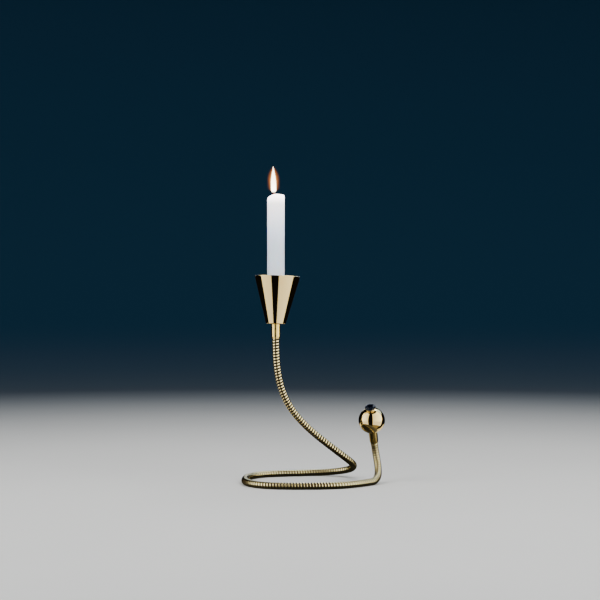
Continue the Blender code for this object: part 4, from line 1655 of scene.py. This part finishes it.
@dataclass
class Tail:
    """Ball, collet and stone along the leaning end of the neck."""

    route: Route
    ball_radius: float = 16.5 * MM
    ball_rows: int = 96
    ball_sides: int = 128
    ferrule_length: float = 18.2 * MM
    spot_radius: float = 6.0 * MM
    stud_length: float = 8.0 * MM
    stud_hole_radius: float = 3.3 * MM
    spot_margin: float = 0.5 * MM
    stone_radius: float = 7.0 * MM
    stone_girdle: float = 1.0 * MM
    stone_crown: float = 1.8 * MM
    stone_table: float = 4.4 * MM
    stone_sides: int = 8
    stone_edge: float = 0.3 * MM
    stone_overhang: float = 1.6 * MM
    stone_highlight_bevel: float = 0.12 * MM
    stone_highlight_degrees: float = 3.0
    collet_height: float = 2.8 * MM
    collet_width: float = 2.2 * MM
    collet_bead: float = 0.6 * MM
    collet_sides: int = 96
    body: str = "tail_tip"

    def __post_init__(self) -> None:
        """Finds the ball's centre beyond the ferrule, on the tail's axis."""
        self.axis = tuple(self.route.tail_axis.tolist())
        self.spot_depth = math.sqrt(self.ball_radius**2 - self.spot_radius**2)
        reach = self.ferrule_length + GAP + self.spot_depth
        self.centre = tuple((self.route.points[0] + self.route.tail_axis * reach).tolist())
        self.collet_radius = self.stone_radius - self.stone_overhang
        self.top_depth = math.sqrt(self.ball_radius**2 - (self.collet_radius + self.spot_margin) ** 2)

    def build(
        self, brass: bpy.types.Material, stone: bpy.types.Material, edge: bpy.types.Material
    ) -> None:
        """Makes the ball, the collet and the stone.

        Args:
            brass: the material of the ball and the collet.
            stone: the stone's.
            edge: the stone's along its edges, painted paler as a highlight.
        """
        self.build_ball(brass)
        self.build_collet(brass)
        self.build_stone(stone, edge)

    def build_ball(self, brass: bpy.types.Material) -> None:
        """Turned ball: a circle's arc between its two flats, and a hole for the stud.

        Args:
            brass: its material.
        """
        lathe = Lathe(self.centre, self.axis, self.ball_sides)
        low = math.asin(-self.spot_depth / self.ball_radius)
        high = math.asin(self.top_depth / self.ball_radius)
        turn = np.linspace(low, high, self.ball_rows)[:, None]
        arc = self.ball_radius * np.concatenate([np.cos(turn), np.sin(turn)], axis=1)
        hole_end = -self.spot_depth + self.stud_length
        hole = rounded([
            (0.0, hole_end, 0.0),
            (self.stud_hole_radius, hole_end, SOFT_EDGE),
            (self.stud_hole_radius, -self.spot_depth, CRISP_EDGE),
            (0.5 * (self.stud_hole_radius + self.spot_radius), -self.spot_depth, 0.0),
        ])
        outline = np.concatenate([hole, arc, [[0.0, self.top_depth]]])
        piece = lathe.turned(outline).made_object("ball_turned", brass, sharp_degrees=30.0)
        dress(piece, self.body, ["ball"])

    def build_collet(self, brass: bpy.types.Material) -> None:
        """Low turned ring with a soft outer bead, between the ball and the stone.

        Args:
            brass: its material.
        """
        foot = self.top_depth + GAP
        inner, top = self.collet_radius - self.collet_width, foot + self.collet_height
        outline = rounded([
            (inner, foot + 0.5 * self.collet_height, 0.0),
            (inner, foot, FINE_EDGE),
            (self.collet_radius, foot, SOFT_EDGE),
            (self.collet_radius, top, self.collet_bead),
            (inner, top, FINE_EDGE),
            (inner, foot + 0.5 * self.collet_height, 0.0),
        ])
        lathe = Lathe(self.centre, self.axis, self.collet_sides)
        piece = lathe.turned(outline).made_object("stone_collet_turned", brass)
        dress(piece, self.body, ["stone_collet"])

    def build_stone(self, finish: bpy.types.Material, edge: bpy.types.Material) -> None:
        """Cut stone: base, girdle, eight kite facets between two rows of triangles, table.

        A kite is flat when the middle of the break ring's side lies on the line from girdle
        to table, which fixes the break's height from its radius. The girdle and the table
        turn by half a side, which brings a flat side to the front.

        Args:
            finish: the facets' material.
            edge: the material of the bevelled edges between them, painted paler as a highlight.
        """
        foot = self.top_depth + GAP + self.collet_height + GAP
        half_step = math.pi / self.stone_sides
        break_radius = 0.5 * (self.stone_radius + self.stone_table)
        run = self.stone_radius - break_radius * math.cos(half_step)
        break_height = self.stone_crown * run / (self.stone_radius - self.stone_table)
        rings = np.array([
            (self.stone_radius - self.stone_edge, 0.0, half_step),
            (self.stone_radius, self.stone_edge, half_step),
            (self.stone_radius, self.stone_girdle, half_step),
            (break_radius, self.stone_girdle + break_height, 2.0 * half_step),
            (self.stone_table, self.stone_girdle + self.stone_crown, half_step),
        ])
        angle = np.arange(self.stone_sides) * 2.0 * half_step + rings[:, 2:]
        radius, height = rings[:, :1], foot + rings[:, 1:2] + 0.0 * angle
        local = np.stack([radius * np.cos(angle), radius * np.sin(angle), height], axis=-1)
        points = Lathe(self.centre, self.axis).place(local.reshape(-1, 3))
        here = np.arange(self.stone_sides)
        after, before = np.roll(here, -1), np.roll(here, 1)
        base, low, girdle, middle, table = (here + self.stone_sides * ring for ring in range(5))
        facets = [
            base[::-1][None],
            np.stack([base, base[after], low[after], low], axis=1),
            np.stack([low, low[after], girdle[after], girdle], axis=1),
            np.stack([girdle, girdle[after], middle], axis=1),
            np.stack([girdle, middle, table, middle[before]], axis=1),
            np.stack([middle, table[after], table], axis=1),
            table[None],
        ]
        mesh = bpy.data.meshes.new("stone_cut")
        mesh.from_pydata(points.tolist(), [], [face for group in facets for face in group.tolist()])
        piece = put_in_scene("stone_cut", mesh, finish, EVERY_EDGE)
        mesh.materials.append(edge)
        # the bevel takes the paler edge material: a painted highlight along each facet edge
        worn = piece.modifiers.new("painted_highlight_edges", "BEVEL")
        worn.material = 1
        worn.width = self.stone_highlight_bevel
        worn.segments = 2
        worn.limit_method = "ANGLE"
        worn.angle_limit = math.radians(self.stone_highlight_degrees)
        dress(piece, self.body, ["stone"])


def show(piece: bpy.types.Object, seen: Seen) -> None:
    """Sets which rays meet a studio piece.

    Args:
        piece: the studio piece.
        seen: which light it takes part in.
    """
    mirrored = seen is Seen.MIRRORED_ONLY
    piece.visible_glossy = mirrored
    if mirrored:
        piece.visible_camera = piece.visible_diffuse = piece.visible_transmission = False
        piece.visible_shadow = False


def glowing(name: str, colour: str) -> bpy.types.Material:
    """Glow of one colour for what polished metal mirrors, as strong as the glow attribute.

    Args:
        name: the material's name.
        colour: sRGB hex.

    Returns:
        The material.
    """
    made = bpy.data.materials.new(name)
    made.use_nodes = True
    tree = made.node_tree
    shader = tree.nodes["Principled BSDF"]
    glow = add_node(tree, "ShaderNodeAttribute", attribute_name="glow").outputs["Fac"]
    tree.links.new(glow, shader.inputs["Emission Strength"])
    shader.inputs["Base Color"].default_value = BLACK
    shader.inputs["Specular IOR Level"].default_value = 0.0
    shader.inputs["Emission Color"].default_value = linear(colour)
    return made


@dataclass(frozen=True)
class Card:
    """Curved card that only polished surfaces see, part of a drum round the set.

    Turns are in degrees from the viewer's direction, growing to the viewer's right, at the
    card's foot and at its head, where it also has a height and a radius each. The glow
    runs evenly from its value at the first turn to its value at the last.
    """

    name: str
    foot: tuple[float, float]
    head: tuple[float, float]
    heights: tuple[float, float]
    radii: tuple[float, float]
    colour: str
    glow: tuple[float, float]
    columns: int = 36

    def build(self) -> None:
        """Point (height, turn) is radius sin(turn), -radius cos(turn), height."""
        turn = np.radians([np.linspace(*ends, self.columns + 1) for ends in (self.foot, self.head)])
        height, radius = (
            np.broadcast_to(np.array(pair)[:, None], turn.shape) for pair in (self.heights, self.radii)
        )
        points = np.stack([radius * np.sin(turn), -radius * np.cos(turn), height], axis=-1)
        here = np.arange(self.columns)
        above = here + self.columns + 1
        quads = np.stack([here, here + 1, above + 1, above], axis=1)
        glow = np.tile(np.linspace(*self.glow, self.columns + 1), 2)
        flat = points.reshape(-1, 3)
        sheet = Surface(flat, quads, np.zeros((len(quads), 4, 2)), {"glow": glow})
        show(sheet.made_object(self.name, glowing(self.name, self.colour)), Seen.MIRRORED_ONLY)


@dataclass(frozen=True)
class Softbox:
    """Rectangular light that faces a point over the middle of the set.

    The camera doesn't see it and metal doesn't mirror it.
    """

    name: str
    place: tuple[float, float, float]
    aim_height: float
    size: tuple[float, float]
    watts: float

    def build(self) -> None:
        """Adds the light at its place, turned towards the point."""
        light = bpy.data.lights.new(self.name, "AREA")
        light.shape = "RECTANGLE"
        light.size, light.size_y = self.size
        light.energy = self.watts
        box = bpy.data.objects.new(self.name, light)
        box.location = self.place
        towards = Vector((0.0, 0.0, self.aim_height)) - Vector(self.place)
        box.rotation_euler = towards.to_track_quat("-Z", "Y").to_euler()
        box.visible_camera = box.visible_glossy = False
        bpy.context.scene.collection.objects.link(box)


@dataclass
class Studio:
    """Pale floor that sweeps up into a dark blue wall, soft lights, cards and the camera."""

    camera_place: tuple[float, float, float] = (-0.0162, -1.4628, 0.192)
    camera_rise_degrees: float = 1.4617
    focal_pixels: float = 1160.0
    picture_pixels: float = 600.0
    sensor: float = 36.0
    room_radius: float = 3.2
    room_height: float = 2.6
    sweep_radius: float = 0.9
    sweep_steps: int = 24
    cove_sides: int = 128
    cove_drop: float = 0.05 * MM
    aim_height: float = 0.16
    drum_radius: float = 2.0
    drum_half_height: float = 3.4
    drum_wider: float = 1.05
    drum_taller: float = 1.1
    panel_join: float = -0.15
    panel_shoulder: float = 1.2
    panel_foot: float = -1.3
    drum_colour: str = "#100E0A"
    table_radius: float = 0.12
    table_drop: float = 0.03 * MM
    table_rows: int = 13
    table_glow: tuple[float, float] = (0.1, 0.8)
    table_colour: str = "#7C7A74"
    surround: str = "#5A6068"

    def build(self, cove_paint: bpy.types.Material) -> None:
        """Sets the cove, the surround, the lights, the cards and the camera.

        Args:
            cove_paint: the cove's material.
        """
        self.build_cove(cove_paint)
        self.build_surround()
        self.build_lights()
        self.build_cards()
        self.build_camera()

    def build_cove(self, paint: bpy.types.Material) -> None:
        """Round cove, turned from a flat floor, a quarter circle and an upright wall.

        Its floor lies a hair under the ribs that rest on it.

        Args:
            paint: its material.
        """
        outline = rounded([
            (0.0, 0.0, 0.0),
            (self.room_radius, 0.0, self.sweep_radius),
            (self.room_radius, self.room_height, 0.0),
        ], steps=self.sweep_steps)
        lathe = Lathe((0.0, 0.0, -self.cove_drop), sides=self.cove_sides)
        cove = lathe.turned(outline).made_object("floor_cove", paint, NO_EDGE)
        show(cove, Seen.NOT_MIRRORED)

    def build_surround(self) -> None:
        """An even, dim light from all round."""
        world = bpy.data.worlds.new("studio")
        world.use_nodes = True
        background = world.node_tree.nodes["Background"]
        background.inputs["Color"].default_value = linear(self.surround)
        background.inputs["Strength"].default_value = 1.0
        bpy.context.scene.world = world

    def build_lights(self) -> None:
        """Two tall softboxes beside the camera, above it, and one overhead."""
        for softbox in (
            Softbox("softbox_right", (0.9, -0.9, 1.0), self.aim_height, (1.0, 1.2), 19.0),
            Softbox("softbox_left", (-1.0, -0.7, 1.0), self.aim_height, (1.0, 1.2), 16.0),
            Softbox("softbox_top", (0.25, 0.1, 1.9), 0.0, (1.6, 1.6), 26.0),
        ):
            softbox.build()

    def build_cards(self) -> None:
        """Tall panels in a nearly black drum, over a dark table, with more behind and above.

        Polished metal mirrors these and nothing else of the studio, as in the photograph.
        Below the floor the panels go on, dimmer and narrower, as a dark table mirrors them.
        The dark table's glow rises from its middle as the fourth power of the distance.
        """
        reach, drum, join = self.drum_half_height, self.drum_radius, self.panel_join
        wall = (drum, drum)
        low, shoulder = self.panel_foot, self.panel_shoulder
        upper, lower, amber, ground = "#F4F0E8", "#F2ECEA", "#C8B48C", "#EDE4D2"
        sky, pale_sky, paler_sky = "#C4DCFF", "#DCE8FF", "#E8F0FF"
        left, left_wide, left_narrow = (-91.0, -33.0), (-108.0, -33.0), (-80.0, -33.0)
        right, right_wide, right_narrow = (8.0, 93.0), (8.0, 108.0), (8.0, 80.0)
        back_right, back, over = (114.0, 150.0), (168.0, 194.0), (132.0, 178.0)
        foot_right, foot_right_head = (98.0, 170.0), (130.0, 165.0)
        foot_left, foot_left_head = (190.0, 262.0), (196.0, 230.0)
        behind = (-reach, -0.45)
        # Name, turns at the foot and at the head, heights, radii, colour, glow
        cards = (
            Card("card_left_top", left_wide, left_wide, (shoulder, reach), wall, upper, (3.6, 1.7)),
            Card("card_left", left, left_wide, (join, shoulder), wall, upper, (4.2, 1.7)),
            Card("card_left_low", left, left, (low, join), wall, lower, (2.0, 1.7)),
            Card("card_left_foot", left_narrow, left_narrow, (-reach, low), wall, amber, (0.6, 0.6)),
            Card("card_right_top", right_wide, right_wide, (shoulder, reach), wall, upper, (1.7, 3.6)),
            Card("card_right", right, right_wide, (join, shoulder), wall, upper, (1.7, 4.2)),
            Card("card_right_low", right, right, (low, join), wall, lower, (1.7, 2.2)),
            Card("card_right_foot", right_narrow, right_narrow, (-reach, low), wall, amber, (0.6, 0.6)),
            Card("card_back_right", back_right, back_right, (1.0, reach), wall, sky, (2.6, 2.0)),
            Card("card_back", back, back, (0.5, 2.2), wall, pale_sky, (2.4, 1.8)),
            Card("card_over", over, over, (2.4, 3.35), (drum, 0.45 * drum), paler_sky, (7.0, 9.0)),
            Card("card_back_foot_right", foot_right, foot_right_head, behind, wall, ground, (1.5, 1.5)),
            Card("card_back_foot_left", foot_left, foot_left_head, behind, wall, ground, (1.5, 1.5)),
        )
        for card in cards:
            card.build()
        wide, tall = self.drum_wider * drum, self.drum_taller * reach
        shell = np.array([(0.0, -tall), (wide, -tall), (wide, tall), (0.0, tall)])
        share = np.linspace(0.0, 1.0, self.table_rows)
        table = np.stack([share * self.table_radius, np.full_like(share, -self.table_drop)], axis=-1)
        table_glow = self.table_glow[0] + self.table_glow[1] * share**4
        for name, outline, colour, glow in (
            ("drum_dark", shell, self.drum_colour, np.ones(4)),
            ("table_dark", table, self.table_colour, table_glow),
        ):
            sheet = Lathe((0.0, 0.0, 0.0)).turned(outline, glow=glow)
            show(sheet.made_object(name, glowing(name, colour)), Seen.MIRRORED_ONLY)

    def build_camera(self) -> None:
        """Camera with the photograph's place, rise and focal length, and no shift."""
        camera = bpy.data.cameras.new("photo_camera")
        camera.sensor_width = self.sensor
        camera.lens = self.focal_pixels * self.sensor / self.picture_pixels
        holder = bpy.data.objects.new("photo_camera", camera)
        holder.location = self.camera_place
        holder.rotation_euler = Euler((math.radians(90.0 + self.camera_rise_degrees), 0.0, 0.0))
        bpy.context.scene.collection.objects.link(holder)
        bpy.context.scene.camera = holder


def main() -> None:
    """Builds the candlestick in order, from its neck to the studio."""
    logging.basicConfig(level=logging.INFO, format="%(message)s")
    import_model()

    neck = Neck()
    route = neck.route
    lean = Matrix(frame_matrix(route.tail_axis).T.tolist()).to_euler()
    gold, warm_gold = "#F0DA9A", "#E7CB83"
    mirror_gloss, satin_gloss = (0.045, 0.09), (0.17, 0.24)
    brass = TurnedMetal("polished_brass", gold, warm_gold, mirror_gloss).material()
    tail_brass = TurnedMetal(
        "polished_brass_tail", gold, warm_gold, mirror_gloss, tilt=tuple(lean)
    ).material()
    satin = TurnedMetal("turned_brass", "#E8D07C", "#DDC06A", satin_gloss).material()
    # The tail ferrule's brass, #C4B070 and #B09A5C, is painted darker than the top ferrule's: painted
    # shade
    shaded_tail_satin = TurnedMetal(
        "turned_brass_tail_painted_shade", "#C4B070", "#B09A5C", satin_gloss, tilt=tuple(lean)
    ).material()
    plated = TurnedMetal("nickel_plated_steel", "#D5D3CE", "#C4C0B8", (0.22, 0.32)).material()
    # 332711 is painted shade in the winding's grooves; the spring's wire is painted with its shade
    # colour #77746F
    wound = WoundWire("wound_brass_wire", "#F3E5AC", "#332711", (0.1, 0.4)).material()
    spring = WoundWire("spring_steel_wire", "#A8A6A2", "#77746F", (0.3, 0.4)).material()

    neck.build(wound, spring)
    top_mouth, tail_mouth = tuple(route.points[-1].tolist()), tuple(route.points[0].tolist())
    stud_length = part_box("top_ferrule")[1].z - top_mouth[2] - Ferrule.length
    Ferrule("top_ferrule", "cup_head", top_mouth, (0.0, 0.0, 1.0), stud_length).build(satin)
    tail_axis = tuple(route.tail_axis.tolist())
    Ferrule("tail_ferrule", "tail_tip", tail_mouth, tail_axis, Tail.stud_length).build(shaded_tail_satin)
    Cup(top_mouth).build(brass, plated)

    candle = Candle()
    # The wax is painted with emitted light: #A2CAFF low down, #FFF2F0 near the flame
    wax = PouredWax(
        "white_wax", "#F1F4F8", "#F6F1E4", painted_deep_light="#A2CAFF", painted_flame_light="#FFF2F0",
        painted_glow_top=candle.top,
    ).material()
    cotton = CharredCotton("charred_cotton", "#E9E2D2", "#2A0E0A", "#C8341A", 0.5).material()
    candle.build(wax, cotton)
    span = (candle.flame_root, candle.flame_tip)
    core = BurningGas("flame_core", "#FFE9C8", "#FFF0D6", 14.0, 1.0, *span).material()
    mantle = BurningGas("flame_mantle", "#FF8A34", "#FFD090", 8.0, 0.12, *span, 0.5).material()
    candle.build_flame(core, mantle)

    stone = CutStone("dark_spinel", "#010103", "#030612", (0.04, 0.1), 0.03).material()
    # 1B232E and #2C3846 paint a highlight along the stone's edges
    stone_edge = CutStone("dark_spinel_painted_highlight_edges", "#1B232E", "#2C3846", (0.12, 0.2), 0.35).material()
    Tail(route).build(tail_brass, stone, stone_edge)
    paint = MattePaint("studio_paint", "#DADAD7", "#D2D2D0", "#26475F", (0.3, 3.0))
    Studio().build(paint.material())


if __name__ == "__main__":
    main()
